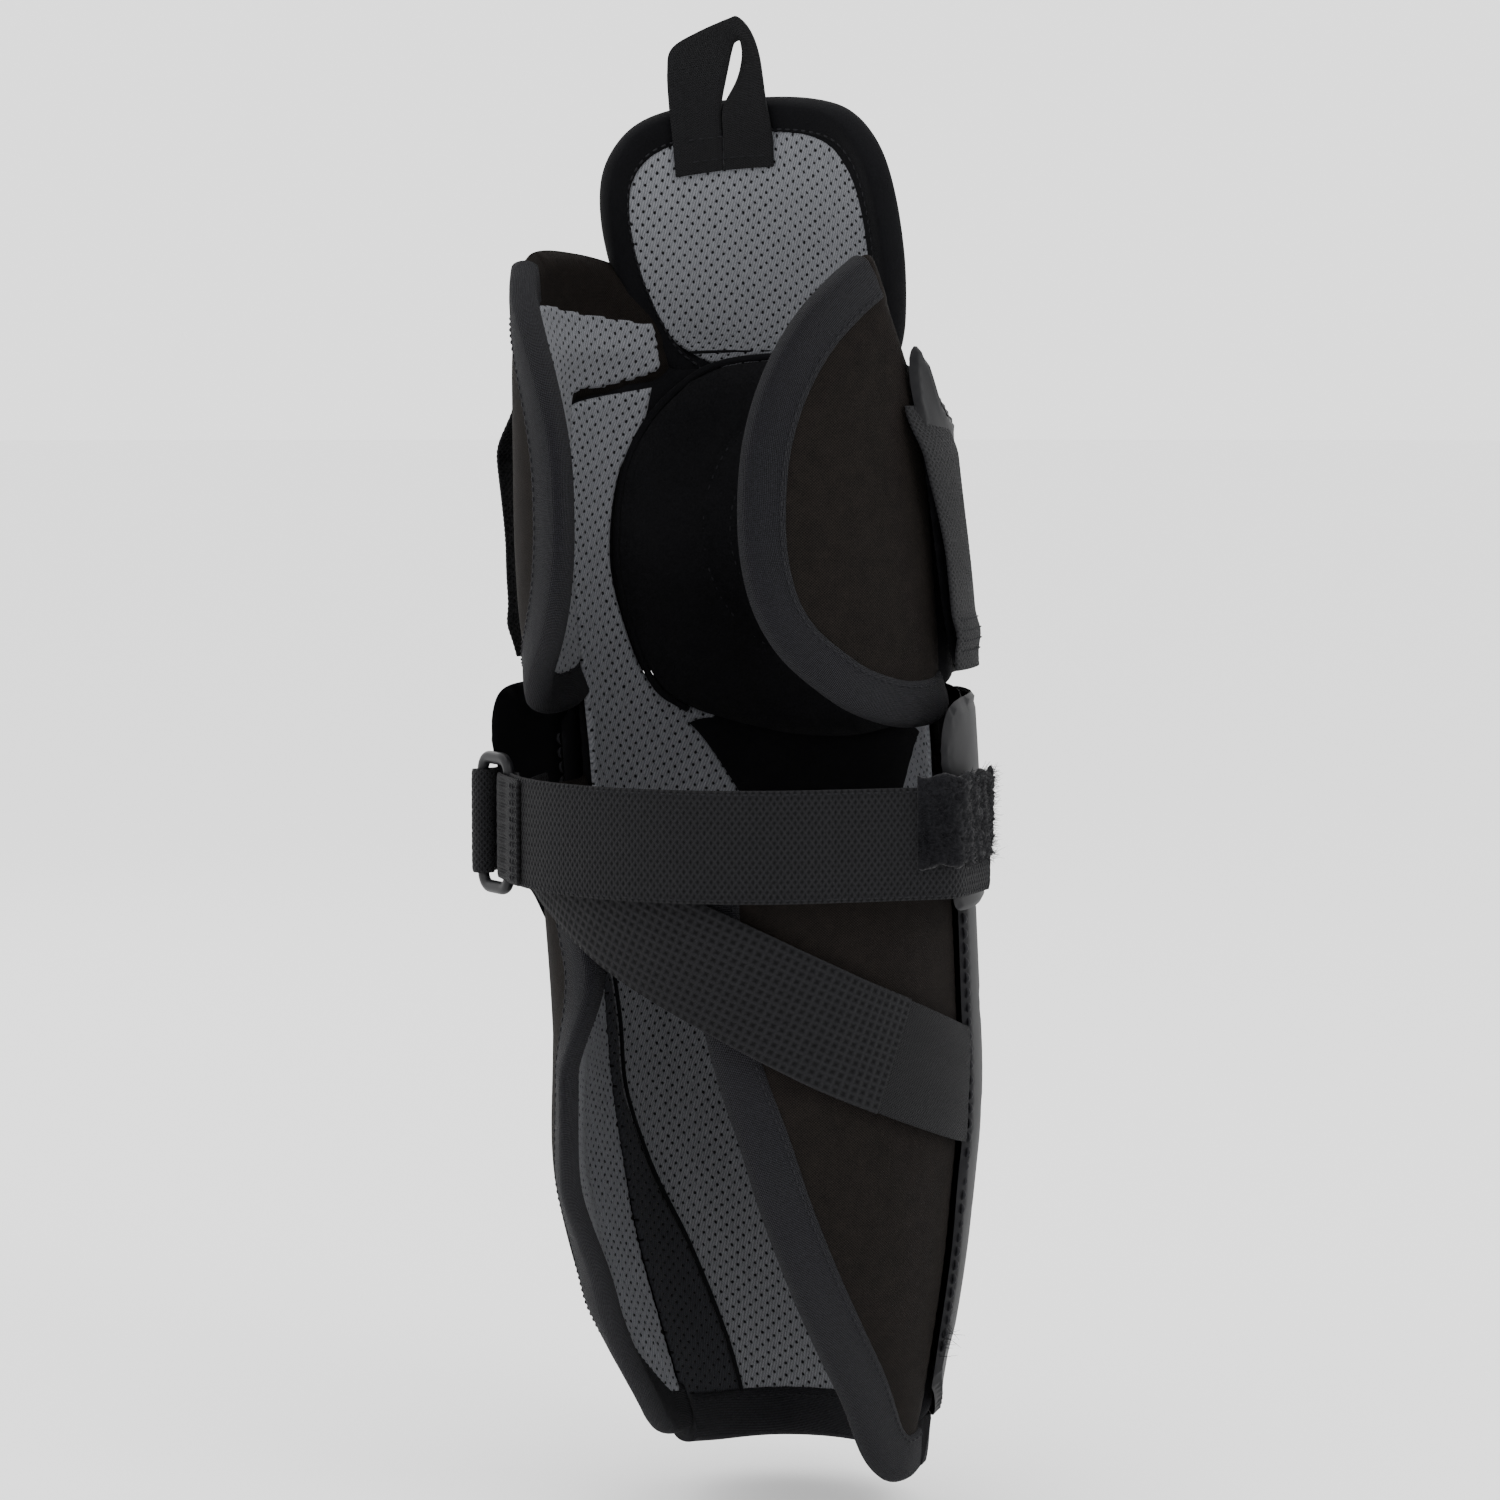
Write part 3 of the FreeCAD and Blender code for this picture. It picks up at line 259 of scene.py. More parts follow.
def swell(thing, pinned, pressure=4.0, most=3.0, frames=20):
    """Blow a closed piece up as cloth, and hold the points given as pinned. No point moves further than
    most."""
    fix_normals(thing)
    start = np.array([v.co for v in thing.data.vertices])
    group = thing.vertex_groups.new(name="pinned")
    for number, weight in enumerate(pinned):
        if weight > 0:
            group.add([number], float(weight), "REPLACE")
    cloth = thing.modifiers.new("cloth", "CLOTH")
    cloth.settings.quality = 6
    cloth.settings.mass = 0.15
    cloth.settings.tension_stiffness = 25
    cloth.settings.compression_stiffness = 25
    cloth.settings.bending_stiffness = 4
    cloth.settings.use_pressure = True
    cloth.settings.uniform_pressure_force = pressure
    cloth.settings.vertex_group_mass = "pinned"
    cloth.settings.effector_weights.gravity = 0
    cloth.point_cache.frame_end = frames
    for number in range(1, frames + 1):
        bpy.context.scene.frame_set(number)
    settled = thing.evaluated_get(bpy.context.evaluated_depsgraph_get())
    end = np.array([v.co for v in settled.data.vertices])
    thing.modifiers.remove(cloth)
    thing.vertex_groups.clear()
    bpy.context.scene.frame_set(1)
    move = end - start
    far = np.linalg.norm(move, axis=1)[:, None]
    limit = most * MM
    move *= limit * np.tanh(far / limit) / np.maximum(far, 1e-9)
    thing.data.vertices.foreach_set("co", (start + move).astype(np.float32).ravel())
    thing.data.update()


def finer(thing, levels=1):
    modifier = thing.modifiers.new("finer", "SUBSURF")
    modifier.levels = levels
    modifier.render_levels = levels
    modifier.subdivision_type = "CATMULL_CLARK"
    modifier.boundary_smooth = "PRESERVE_CORNERS"
    bpy.context.view_layer.objects.active = thing
    thing.select_set(True)
    bpy.ops.object.modifier_apply(modifier="finer")
    thing.select_set(False)


# Materials.

class Nodes:
    """A material and short ways to add nodes to it."""

    def __init__(self, name, colour, roughness, sheen=0.0, specular=0.5):
        self.material = bpy.data.materials.new(name)
        self.material.use_nodes = True
        self.tree = self.material.node_tree
        self.shader = self.tree.nodes["Principled BSDF"]
        self.shader.inputs["Base Color"].default_value = (*colour, 1)
        self.shader.inputs["Roughness"].default_value = roughness
        self.shader.inputs["Specular IOR Level"].default_value = specular
        if sheen:
            self.shader.inputs["Sheen Weight"].default_value = sheen
            self.shader.inputs["Sheen Roughness"].default_value = 0.45

    def node(self, kind, **settings):
        made = self.tree.nodes.new(kind)
        for key, value in settings.items():
            setattr(made, key, value)
        return made

    def link(self, source, target):
        self.tree.links.new(source, target)

    def put(self, target, value):
        if isinstance(value, (int, float)):
            target.default_value = value
        else:
            self.link(value, target)

    def maths(self, operation, a, b=0.0, clamp=False):
        made = self.node("ShaderNodeMath", operation=operation, use_clamp=clamp)
        self.put(made.inputs[0], a)
        self.put(made.inputs[1], b)
        return made.outputs[0]

    def weave(self):
        """Millimetres along and across the fabric."""
        uv = self.node("ShaderNodeUVMap", uv_map="weave")
        split = self.node("ShaderNodeSeparateXYZ")
        self.link(uv.outputs["UV"], split.inputs[0])
        return [self.maths("MULTIPLY", output, 100.0) for output in split.outputs[:2]]

    def wave(self, value, period, shift=0.0):
        turned = self.maths("MULTIPLY_ADD", value, 2 * math.pi / period)
        turned.node.inputs[2].default_value = shift
        return self.maths("COSINE", turned)

    def noise(self, scale, detail=4.0, rough=0.6, vector=None):
        made = self.node("ShaderNodeTexNoise")
        made.inputs["Scale"].default_value = scale
        made.inputs["Detail"].default_value = detail
        made.inputs["Roughness"].default_value = rough
        if vector is None:
            place = self.node("ShaderNodeTexCoord")
            vector = place.outputs["Object"]
        self.link(vector, made.inputs["Vector"])
        return made.outputs["Fac"]

    def steps(self, value, low, high):
        made = self.node("ShaderNodeMapRange", interpolation_type="SMOOTHSTEP")
        self.put(made.inputs["Value"], value)
        made.inputs["From Min"].default_value = low
        made.inputs["From Max"].default_value = high
        return made.outputs["Result"]

    def ramp(self, value, stops):
        made = self.node("ShaderNodeValToRGB")
        self.put(made.inputs["Fac"], value)
        elements = made.color_ramp.elements
        while len(elements) < len(stops):
            elements.new(0.5)
        for element, (position, colour) in zip(elements, stops):
            element.position = position
            element.color = (*colour, 1)
        return made.outputs["Color"]

    def blend(self, share, first, second):
        made = self.node("ShaderNodeMix", data_type="RGBA")
        self.put(made.inputs["Factor"], share)
        for socket, value in ((made.inputs[6], first), (made.inputs[7], second)):
            if isinstance(value, tuple):
                socket.default_value = (*value, 1)
            else:
                self.link(value, socket)
        return made.outputs[2]

    def colour(self, value):
        self.link(value, self.shader.inputs["Base Color"])

    def rough(self, value):
        self.link(value, self.shader.inputs["Roughness"])

    def bump(self, height, distance, strength=1.0):
        made = self.node("ShaderNodeBump")
        made.inputs["Strength"].default_value = strength
        made.inputs["Distance"].default_value = distance * MM
        self.link(height, made.inputs["Height"])
        self.link(made.outputs["Normal"], self.shader.inputs["Normal"])


HOLE_ACROSS, HOLE_UP = 5.2, 5.0
HOLE_SLANT = 0.32


def hole_wave(flat):
    """High, up to 1, at the mesh's holes, which lie in staggered rows."""
    along = flat[:, 0] + HOLE_SLANT * flat[:, 1]
    up = flat[:, 1] - 0.25 * flat[:, 0]
    return np.cos(2 * np.pi * along / HOLE_ACROSS) * np.cos(2 * np.pi * up / HOLE_UP)


def mesh_fabric(name, light, dark, hole):
    """Knitted spacer mesh: staggered slanted holes between small knit stitches."""
    m = Nodes(name, light, 0.85, sheen=0.06, specular=0.1)
    u, v = m.weave()
    along = m.maths("ADD", u, m.maths("MULTIPLY", v, HOLE_SLANT))
    up = m.maths("SUBTRACT", v, m.maths("MULTIPLY", u, 0.25))
    lattice = m.maths("MULTIPLY", m.wave(along, HOLE_ACROSS), m.wave(up, HOLE_UP))
    wobble = m.maths("MULTIPLY", m.maths("SUBTRACT", m.noise(900, 2.0), 0.5), 0.5)
    opening = m.steps(m.maths("ADD", lattice, wobble), 0.62, 0.86)
    diagonal = m.maths("ADD", u, m.maths("MULTIPLY", v, 1.6))
    stitch = m.maths("MULTIPLY", m.wave(diagonal, 1.3), m.wave(v, 1.25))
    stitch = m.maths("MULTIPLY_ADD", stitch, 0.35)
    stitch.node.inputs[2].default_value = 0.5
    speckle = m.noise(2600, 3.0, 0.7)
    tone = m.maths("ADD", m.maths("MULTIPLY", stitch, 0.55), m.maths("MULTIPLY", speckle, 0.5))
    cloth = m.ramp(tone, [(0.25, dark), (0.75, light)])
    m.colour(m.blend(opening, cloth, hole))
    height = m.maths("SUBTRACT", m.maths("MULTIPLY", stitch, 0.5), m.maths("MULTIPLY", opening, 1.2))
    m.bump(height, 0.45)
    return m.material


def brushed_fabric(name, dark, light, sheen, scale=1400.0):
    m = Nodes(name, dark, 0.95, sheen=sheen, specular=0.04)
    fuzz = m.noise(scale, 5.0, 0.75)
    cloud = m.noise(28, 3.0, 0.5)
    tone = m.maths("ADD", m.maths("MULTIPLY", fuzz, 0.7), m.maths("MULTIPLY", cloud, 0.3))
    m.colour(m.ramp(tone, [(0.35, dark), (0.68, light)]))
    m.bump(fuzz, 0.35, 0.8)
    return m.material


def canvas_fabric(name, dark, light):
    """Plain woven canvas, with brownish yarns among the black."""
    m = Nodes(name, dark, 0.9, specular=0.06)
    u, v = m.weave()
    warp, weft = m.wave(u, 1.1), m.wave(v, 0.95)
    weave = m.maths("MULTIPLY", warp, weft)
    yarn = m.noise(1800, 3.0, 0.8)
    slub = m.noise(160, 3.0, 0.6)
    tone = m.maths("ADD", m.maths("MULTIPLY", weave, 0.22), m.maths("MULTIPLY", yarn, 0.75))
    tone = m.maths("ADD", tone, m.maths("MULTIPLY", slub, 0.3))
    m.colour(m.ramp(tone, [(0.3, dark), (0.85, light)]))
    m.bump(m.maths("ADD", m.maths("MULTIPLY", weave, 0.5), yarn), 0.25)
    return m.material


def knit_fabric(name, dark, light, along=1.35, across=1.15):
    """Warp-knit binding: small lozenges in offset rows."""
    m = Nodes(name, dark, 0.85, sheen=0.04, specular=0.08)
    u, v = m.weave()
    first = m.wave(m.maths("ADD", u, v), along)
    second = m.wave(m.maths("SUBTRACT", u, v), across)
    knit = m.maths("MULTIPLY", first, second)
    speckle = m.noise(1500, 3.0, 0.7)
    tone = m.maths("ADD", m.maths("MULTIPLY", knit, 0.25), speckle)
    m.colour(m.ramp(tone, [(0.35, dark), (0.8, light)]))
    m.bump(m.maths("ADD", knit, speckle), 0.4)
    return m.material


def elastic_fabric(name, dark, light, period, square):
    """Woven elastic: a diagonal crosshatch, or square cells when square is set."""
    m = Nodes(name, dark, 0.78, sheen=0.02, specular=0.1)
    u, v = m.weave()
    if square:
        hatch = m.maths("MAXIMUM", m.wave(u, period), m.wave(v, period))
    else:
        hatch = m.maths("MAXIMUM", m.wave(m.maths("ADD", u, m.maths("MULTIPLY", v, 0.7)), period),
                        m.wave(m.maths("SUBTRACT", u, m.maths("MULTIPLY", v, 0.7)), period))
    thread = m.maths("MULTIPLY", m.wave(v, 0.55), m.wave(u, 0.7))
    speckle = m.noise(1300, 3.0, 0.75)
    tone = m.maths("ADD", m.maths("MULTIPLY", hatch, 0.28), m.maths("MULTIPLY", speckle, 0.8))
    m.colour(m.ramp(tone, [(0.2, dark), (0.85, light)]))
    m.bump(m.maths("ADD", m.maths("MULTIPLY", hatch, 0.8), m.maths("MULTIPLY", thread, 0.35)), 0.4)
    return m.material


def moulded_plastic(name, colour, scuff, roughness, specular):
    """Moulded plastic, lightly textured, with fine scuffs."""
    m = Nodes(name, colour, roughness, specular=specular)
    grain = m.noise(2200, 2.0, 0.5)
    cloud = m.noise(22, 4.0, 0.6)
    scratches = m.steps(m.noise(240, 6.0, 0.8), 0.62, 0.72)
    m.colour(m.blend(m.maths("MULTIPLY", scratches, 0.35), colour, scuff))
    worn = m.maths("MULTIPLY_ADD", cloud, 0.22)
    worn.node.inputs[2].default_value = roughness - 0.08
    m.rough(worn)
    m.bump(grain, 0.04, 0.6)
    return m.material


def thread_material(name, colour):
    m = Nodes(name, colour, 0.7, specular=0.12)
    twist = m.noise(3000, 2.0, 0.6)
    m.colour(m.ramp(twist, [(0.3, tuple(c * 0.6 for c in colour)), (0.7, colour)]))
    m.bump(twist, 0.1)
    return m.material


light_mesh = mesh_fabric("light_mesh", (0.185, 0.19, 0.205), (0.04, 0.041, 0.046), (0.002, 0.002, 0.003))
lower_mesh = mesh_fabric("lower_mesh", (0.145, 0.148, 0.158), (0.03, 0.031, 0.034), (0.002, 0.002, 0.003))
dark_mesh = mesh_fabric("dark_mesh", (0.025, 0.026, 0.030), (0.006, 0.006, 0.007), (0.001, 0.001, 0.0015))
brushed = brushed_fabric("brushed_fabric", (0.0022, 0.0022, 0.0026), (0.0085, 0.0085, 0.0095), 0.04)
smooth_black = brushed_fabric("smooth_black", (0.0022, 0.0022, 0.0026), (0.0065, 0.0065, 0.0075), 0.02,
                              2400.0)
canvas = canvas_fabric("canvas", (0.0022, 0.0019, 0.0018), (0.0135, 0.0108, 0.0092))
binding = knit_fabric("knit_binding", (0.0028, 0.0028, 0.0038), (0.0125, 0.0125, 0.017))
webbing = elastic_fabric("webbing", (0.0025, 0.0025, 0.003), (0.012, 0.012, 0.0135), 1.7, False)
elastic = elastic_fabric("elastic", (0.0018, 0.0018, 0.0022), (0.0125, 0.0125, 0.014), 2.3, False)
square_elastic = elastic_fabric("square_elastic", (0.0018, 0.0018, 0.0022), (0.012, 0.012, 0.0135), 2.9, True)
tape = elastic_fabric("tape", (0.0025, 0.0025, 0.003), (0.0115, 0.0115, 0.013), 0.9, False)
pile = brushed_fabric("loop_pile", (0.0015, 0.0015, 0.002), (0.012, 0.012, 0.014), 0.12, 700.0)
plastic = moulded_plastic("shell_plastic", (0.004, 0.004, 0.0048), (0.012, 0.012, 0.0135), 0.55, 0.1)
ring_plastic = moulded_plastic("ring_plastic", (0.004, 0.004, 0.005), (0.012, 0.012, 0.014), 0.4, 0.2)
rivet_metal = moulded_plastic("rivet_metal", (0.28, 0.28, 0.30), (0.5, 0.5, 0.52), 0.3, 0.5)
rivet_metal.node_tree.nodes["Principled BSDF"].inputs["Metallic"].default_value = 1.0
thread = thread_material("thread", (0.012, 0.012, 0.014))


# Parts that several pieces share: sewn-on bindings, stitch rows and flat straps.

# Along a stitch: share of its length, height and width as shares of its radius.
STITCH = [(0.0, -0.9, 0.35), (0.18, -0.1, 0.85), (0.5, 0.35, 1.0), (0.82, -0.1, 0.85), (1.0, -0.9, 0.35)]


def sewn_row(name, line, normals, material, length=2.2, gap=1.1, radius=0.32):
    """A row of stitches along a line. Each is a small rounded bead that dips into the fabric at its ends."""
    line = np.asarray(line, float)
    run = lengths(line)
    starts = np.arange(0, run[-1] - length, length + gap)
    points, faces = [], []
    around = 6
    turns = np.linspace(0, 2 * np.pi, around, endpoint=False)

    def value_at(values, at):
        return np.array([np.interp(at, run, values[:, k]) for k in range(3)])

    for start in starts:
        base = len(points)
        for share, lift, width in STITCH:
            at = start + share * length
            p = value_at(line, at)
            n = value_at(normals, at)
            ahead = value_at(line, at + 0.2) - p
            if np.linalg.norm(ahead) < 1e-6:
                ahead = p - value_at(line, at - 0.2)
            ahead /= np.linalg.norm(ahead)
            n = n - ahead * (n @ ahead)
            n /= np.linalg.norm(n)
            side = np.cross(ahead, n)
            for turn in turns:
                points.append(p + n * (lift * radius + math.sin(turn) * radius * width)
                              + side * math.cos(turn) * radius * width * 1.15)
        faces += [(a, d, c, b) for a, b, c, d in grid_faces(len(STITCH), around, True, base)]
        faces.append(tuple(range(base, base + around)))
        faces.append(tuple(range(len(points) - 1, len(points) - around - 1, -1)))
    return piece(name, points, faces, material)


def normals_of(place, flat, offset):
    """The outward direction of a placed surface at flat points."""
    out = place(flat, offset + 1.0) - place(flat, offset)
    return out / np.linalg.norm(out, axis=1)[:, None]


def section(shares):
    """Once round a strip's section: each share on the outer face, then back on the inner one."""
    for face in (1, -1):
        for share in shares[::face]:
            yield face, share


def weave_at(run, wide):
    """The fabric's coordinates: millimetres along and across."""
    return np.stack(np.broadcast_arrays(run, wide), -1)


def rolled(share, loss=0.55):
    """A strap's thickness at a share of its half width: full, but less close to its edges."""
    return 1 - abs(share) ** 14 * loss


def folded_strip(name, points, uv, material, closed=False):
    """A closed piece from rows of points along a strip, which go once round its section."""
    rows, count = len(points), len(points[0])
    faces = grid_faces(rows, count, closed)
    last = (rows - 1) * count
    for c in range(count if closed else count - 1):
        d = (c + 1) % count
        faces.append((last + c, last + d, d, c))
    if not closed:
        faces.append(tuple(k * count for k in range(rows)))
        faces.append(tuple(k * count + count - 1 for k in reversed(range(rows))))
    made = piece(name, np.vstack(points), faces, material, np.vstack(uv) if uv else None)
    fix_normals(made)
    return made


# Across a binding, as shares of its width and lift: in from the edge, up to the last bead by the fold.
BINDING = [(1.0, -0.25), (0.97, 0.55), (0.90, 0.95), (0.80, 0.9), (0.6, 1.15), (0.4, 1.3), (0.24, 1.2)]
BINDING_FOLD = 0.16


def trim(name, edge, place, outer, inner, width, material, lift=0.9, taper=0.0):
    """A knit binding folded over an open edge. Edge is a flat line, and outer and inner are the offsets of
    the pad's two faces where the binding ends. A taper thins it over that length at both ends."""
    middle, half = (outer + inner) / 2, (outer - inner) / 2
    rows = [(share * width, half + lift * height) for share, height in BINDING]
    bulge = half + lift * 1.2
    reach = BINDING_FOLD * width
    for turn in np.radians(np.linspace(70, -70, 9)):
        rows.append((reach - (reach + 0.8) * math.cos(turn), bulge * math.sin(turn)))
    rows += [(share * width, -half - lift * height) for share, height in reversed(BINDING)]
    points, uv = [], []
    run = lengths(edge)
    fade = np.ones(len(edge))
    if taper:
        fade = np.minimum(smooth_step(run, 0, taper), smooth_step(run[-1] - run, 0, taper)) * 0.5 + 0.5
    girth = 0.0
    last = None
    for inset, height in rows:
        if last is not None:
            girth += math.hypot(inset - last[0], height - last[1])
        last = (inset, height)
        line = inward(edge, inset, closed=False)
        scale = np.where(abs(height) > half, (half + (abs(height) - half) * fade) * np.sign(height), height)
        points.append(place(line, middle + scale))
        uv.append(weave_at(run, girth))
    return folded_strip(name, points, uv, material)


def trim_stitches(name, edge, place, outer, inset, lift, sign=1):
    """The stitch row on a binding. The sign is 1 on its outer face and -1 on its inner one."""
    line = inward(edge, inset, closed=False)
    offset = outer + sign * lift
    return sewn_row(name, place(line, offset), normals_of(place, line, offset) * sign, thread)


def flat_strip(name, centre, out, up, half_width, thickness, material, relief, fine):
    """A strap along a centre line. Out is its face's direction and up is across it. The relief gives the
    height of the weave for millimetres along and across."""
    run = lengths(centre)
    half_width = np.broadcast_to(half_width, len(centre))
    points, uv = [], []
    for face, share in section(np.linspace(-1, 1, int(2 * half_width.max() / fine) + 1)):
        wide = share * half_width
        height = (thickness / 2 + relief(run, wide)) * rolled(share)
        points.append(centre + up * wide[:, None] + out * (face * height)[:, None])
        uv.append(weave_at(run, wide))
    return folded_strip(name, points, uv, material)


HINGE_REACH = 0.007


def hinge_blend(thing, point, across):
    """Bake a piece's transform into its mesh. The hinge point and direction give a step that nothing uses, so
    the piece is not bent.
    """
    point = np.array(point)
    step = HINGE_REACH * np.array(across) / np.linalg.norm(across)
    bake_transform(thing)


# Wings. Each is a padded flap with a canvas face, a mesh lining and a knit binding over its free edge.

KNEE_REAR = [(-9, -50), (-4, -53), (5, -54.5), (18, -53.5), (32, -48), (43, -39), (52, -28), (58, -13),
             (60.6, 7), (60, 31), (57, 50), (51, 68), (42, 84), (31, 96), (22, 103)]
KNEE_REAR_LEFT = [(angle + 4.5 * math.sin(math.radians(min(max(level + 40, 0) * 1.3, 180))), level)
                  for angle, level in KNEE_REAR]
KNEE_FRONT_LEFT = [(12, 106.5), (0, 108), (-12, 107.5), (-22, 106), (-31, 103), (-38, 97), (-43, 88),
                   (-46, 76), (-45, 63), (-26, 56), (-10, 54)]
KNEE_FRONT_RIGHT = [(16.5, 104), (13, 97), (9, 86), (4, 72), (-3, 58), (-8, 46)]
CALF_REAR = [(-9, -329), (2, -330), (14, -328), (27, -318), (39, -296), (49, -276), (58, -252), (66, -224),
             (71, -200), (76, -177), (79.5, -154), (80.5, -128), (80.5, -104), (79, -86), (76, -80)]
CALF_REAR_LEFT = ([(-9, -323), (2, -323), (14, -320), (27, -310)] + CALF_REAR[4:9]
                  + [(71.6, -177), (67, -154), (61.5, -128), (55.5, -104), (54, -86), (52, -80)])
CALF_FRONT = [(44, -79), (30, -79), (0, -79), (-9, -79)]
KNEE_HINGES = {LEFT: (0.0698, -0.0005, 0), RIGHT: (-0.0698, -0.0005, 0)}
CALF_HINGES = {LEFT: (0.0663, -0.0199, -0.1645), RIGHT: (-0.0663, -0.0199, -0.1645)}
KNEE_ACROSS, CALF_ACROSS = (0, 0.994, -0.108), (0, 0.9927, -0.1207)
WING_INNER = -8.6


FLARE, BELLY = 0.78, 7.0


def flared_place(side):
    """The wall, but the left calf wing runs straight on where the wall turns in, and bellies out lower
    down."""
    place = wall_place(side)
    if side == RIGHT:
        return place

    def flared(flat, offset):
        level = flat[:, 1]
        radius = circle(level)[0]
        angle = angle_of(flat)
        belly = BELLY * smooth_step(angle, -8, 24)
        belly *= smooth_step(-level, 165, 225) * (1 - smooth_step(-level, 262, 312))
        free = smooth_step(-level, 137, 176) * (1 - smooth_step(-level, 212, 278))
        past = np.radians(np.clip(angle - 26, 0, 60))
        return place(flat, offset + belly + FLARE * radius * (1 / np.cos(past) - 1) * free)
    return flared


def make_wing(kind, side, rear, front, hinge, across, outer, inner, width):
    """The rear line is the free edge that the binding covers. Both lines run anticlockwise as unrolled."""
    name = f"{kind}_wing_{SIDES[side]}"
    place = flared_place(side) if kind == "calf" else wall_place(side)
    rear_line = curve(wall_outline(rear), 2.4)
    front_line = curve(wall_outline([rear[-1]] + front), 2.4)
    start = curve(wall_outline([front[-1], rear[0]]), 2.4)
    outline = np.vstack([rear_line[:-1], front_line[:-1], start[:-1]])
    flat, faces = fill(outline, 4.0)
    from_edge = depth(flat, outline)
    from_rear = depth(flat, rear_line, closed=False)
    middle, half = (outer + inner) / 2, (outer - inner) / 2
    round_over = rounding(from_edge, 7)
    rise = half * round_over * (0.8 + 0.2 * smooth_step(from_rear, width - 3, width + 12))
    top, bottom = middle + rise, middle - rise
    pad = closed_sheet(f"{name}_pad", flat, faces, place, top, bottom, canvas)
    rim = np.abs(top - bottom) < 1e-6
    both = np.concatenate([from_rear, from_rear[~rim]])
    edge_both = np.concatenate([from_edge, from_edge[~rim]])
    swell(pad, np.clip(1 - (np.minimum(both - width, edge_both - 5)) / 5, 0, 1), most=1.8)
    finer(pad)
    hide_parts(f"{name}_canvas", f"{name}_foam")
    lining = make_lining(name, outline, rear_line, place, bottom_offset=middle - half, width=width)
    edge = trim(f"{name}_trim", rear_line, place, middle + half * 0.86, middle - half * 0.86, width,
                binding)
    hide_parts(f"{name}_binding")
    rows = [trim_stitches(f"{name}_stitches_out", rear_line, place, middle + half * 0.86, width * 0.87, 0.95),
            trim_stitches(f"{name}_stitches_in", rear_line, place, middle - half * 0.86, width * 0.87, 0.95,
                          sign=-1)]
    for thing in [pad, lining, edge] + rows:
        hinge_blend(thing, hinge, across)


def mesh_panel(name, outline, place, offset, material, sink=0.55, thickness=1.0, pitch=1.15, proud=0.0,
               tuck_depth=0.9, under=None):
    """A sheet of spacer mesh over an outline, with its holes pressed in. It faces the leg."""
    flat, faces = fill(outline, pitch)
    edge = depth(flat, outline)
    if under is not None:
        edge = np.minimum(edge, np.clip(under(flat), 0, None))
    hole = smooth_step(hole_wave(flat), 0.55, 0.95)
    tuck = 1 - rounding(edge, 2.0)
    grain = 0.12 * np.cos(2 * np.pi * (flat[:, 0] + 1.6 * flat[:, 1]) / 1.3)
    grain *= np.cos(2 * np.pi * flat[:, 1] / 1.25)
    cushion = proud * smooth_step(edge, 0, 22)
    face = offset - thickness - cushion + sink * hole * (1 - tuck) + tuck_depth * tuck + grain * (1 - tuck)
    front = place(flat, face)
    n = len(outline)
    back = place(flat[:n], offset + tuck_depth)
    points = np.vstack([front, back])
    faces = [f[::-1] for f in faces]
    for k in range(n):
        d = (k + 1) % n
        faces.append((k, d, len(flat) + d, len(flat) + k))
    return piece(name, points, faces, material, np.vstack([flat, flat[:n]]))


LINING_TOP = 90.0


def make_lining(name, outline, rear_line, place, bottom_offset, width):
    """The mesh inside a wing ends under the binding's inner edge."""
    shrunk = inward(outline, 4.0)
    high = LINING_TOP - 0.1 * np.abs(shrunk[:, 0] - 10)
    shrunk[:, 1] = np.minimum(shrunk[:, 1], high)
    lining = mesh_panel(f"{name}_lining", shrunk, place, bottom_offset + 0.6, light_mesh,
                        pitch=1.6, thickness=1.1, tuck_depth=3.2, proud=2.6,
                        under=lambda flat: depth(flat, rear_line, closed=False) - width + 3)
    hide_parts(f"{name}_mesh")
    return lining


for side in (LEFT, RIGHT):
    front = KNEE_FRONT_LEFT if side == LEFT else KNEE_FRONT_RIGHT
    rear = KNEE_REAR_LEFT if side == LEFT else KNEE_REAR
    make_wing("knee", side, rear, front, KNEE_HINGES[side], KNEE_ACROSS, 0.2, WING_INNER, 15.5)
    rear = CALF_REAR_LEFT if side == LEFT else CALF_REAR
    make_wing("calf", side, rear, CALF_FRONT, CALF_HINGES[side], CALF_ACROSS, -0.2, WING_INNER,
              17)


# Shin liner: foam behind the shell, with the light mesh, the dark gussets and the bottom binding inside.

LINER_MIDDLE, LINER_HALF = -4, 4
SEAM = [(-8, -118), (-9, -146), (-11, -172), (-10.5, -196), (-17, -224), (-29, -255), (-38, -289),
        (-42, -313)]


def other_side(points):
    """A line's mirror image on the right half of the wall, run the other way."""
    return [(-180 - angle, level) for angle, level in points][::-1]


def side_line(points, pitch=2.2):
    return curve(wall_outline(points), pitch)


def closed_outline(*lines):
    return np.vstack([line[:-1] for line in lines])


def make_shin_liner():
    corners = [(-172, -313), (-120, -313), (-60, -313), (-8, -313)]
    outline = closed_outline(side_line(corners, 3), side_line([(-8, -313), (-8, -50)], 3),
                             side_line([(-8, -50), (-60, -50), (-120, -50), (-172, -50)], 3),
                             side_line([(-172, -50), (-172, -313)], 3))
    place = wall_place()
    flat, faces = fill(outline, 5.0)
    edge = depth(flat, outline)
    rounded = rounding(edge, 5)
    liner = closed_sheet("shin_liner", flat, faces, place, LINER_MIDDLE + LINER_HALF * rounded,
                         LINER_MIDDLE - LINER_HALF * rounded, smooth_black)
    fix_normals(liner)
    finer(liner)
    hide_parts("shin_liner_foam")
    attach(liner, "shin_body")
    make_lower_mesh(place)


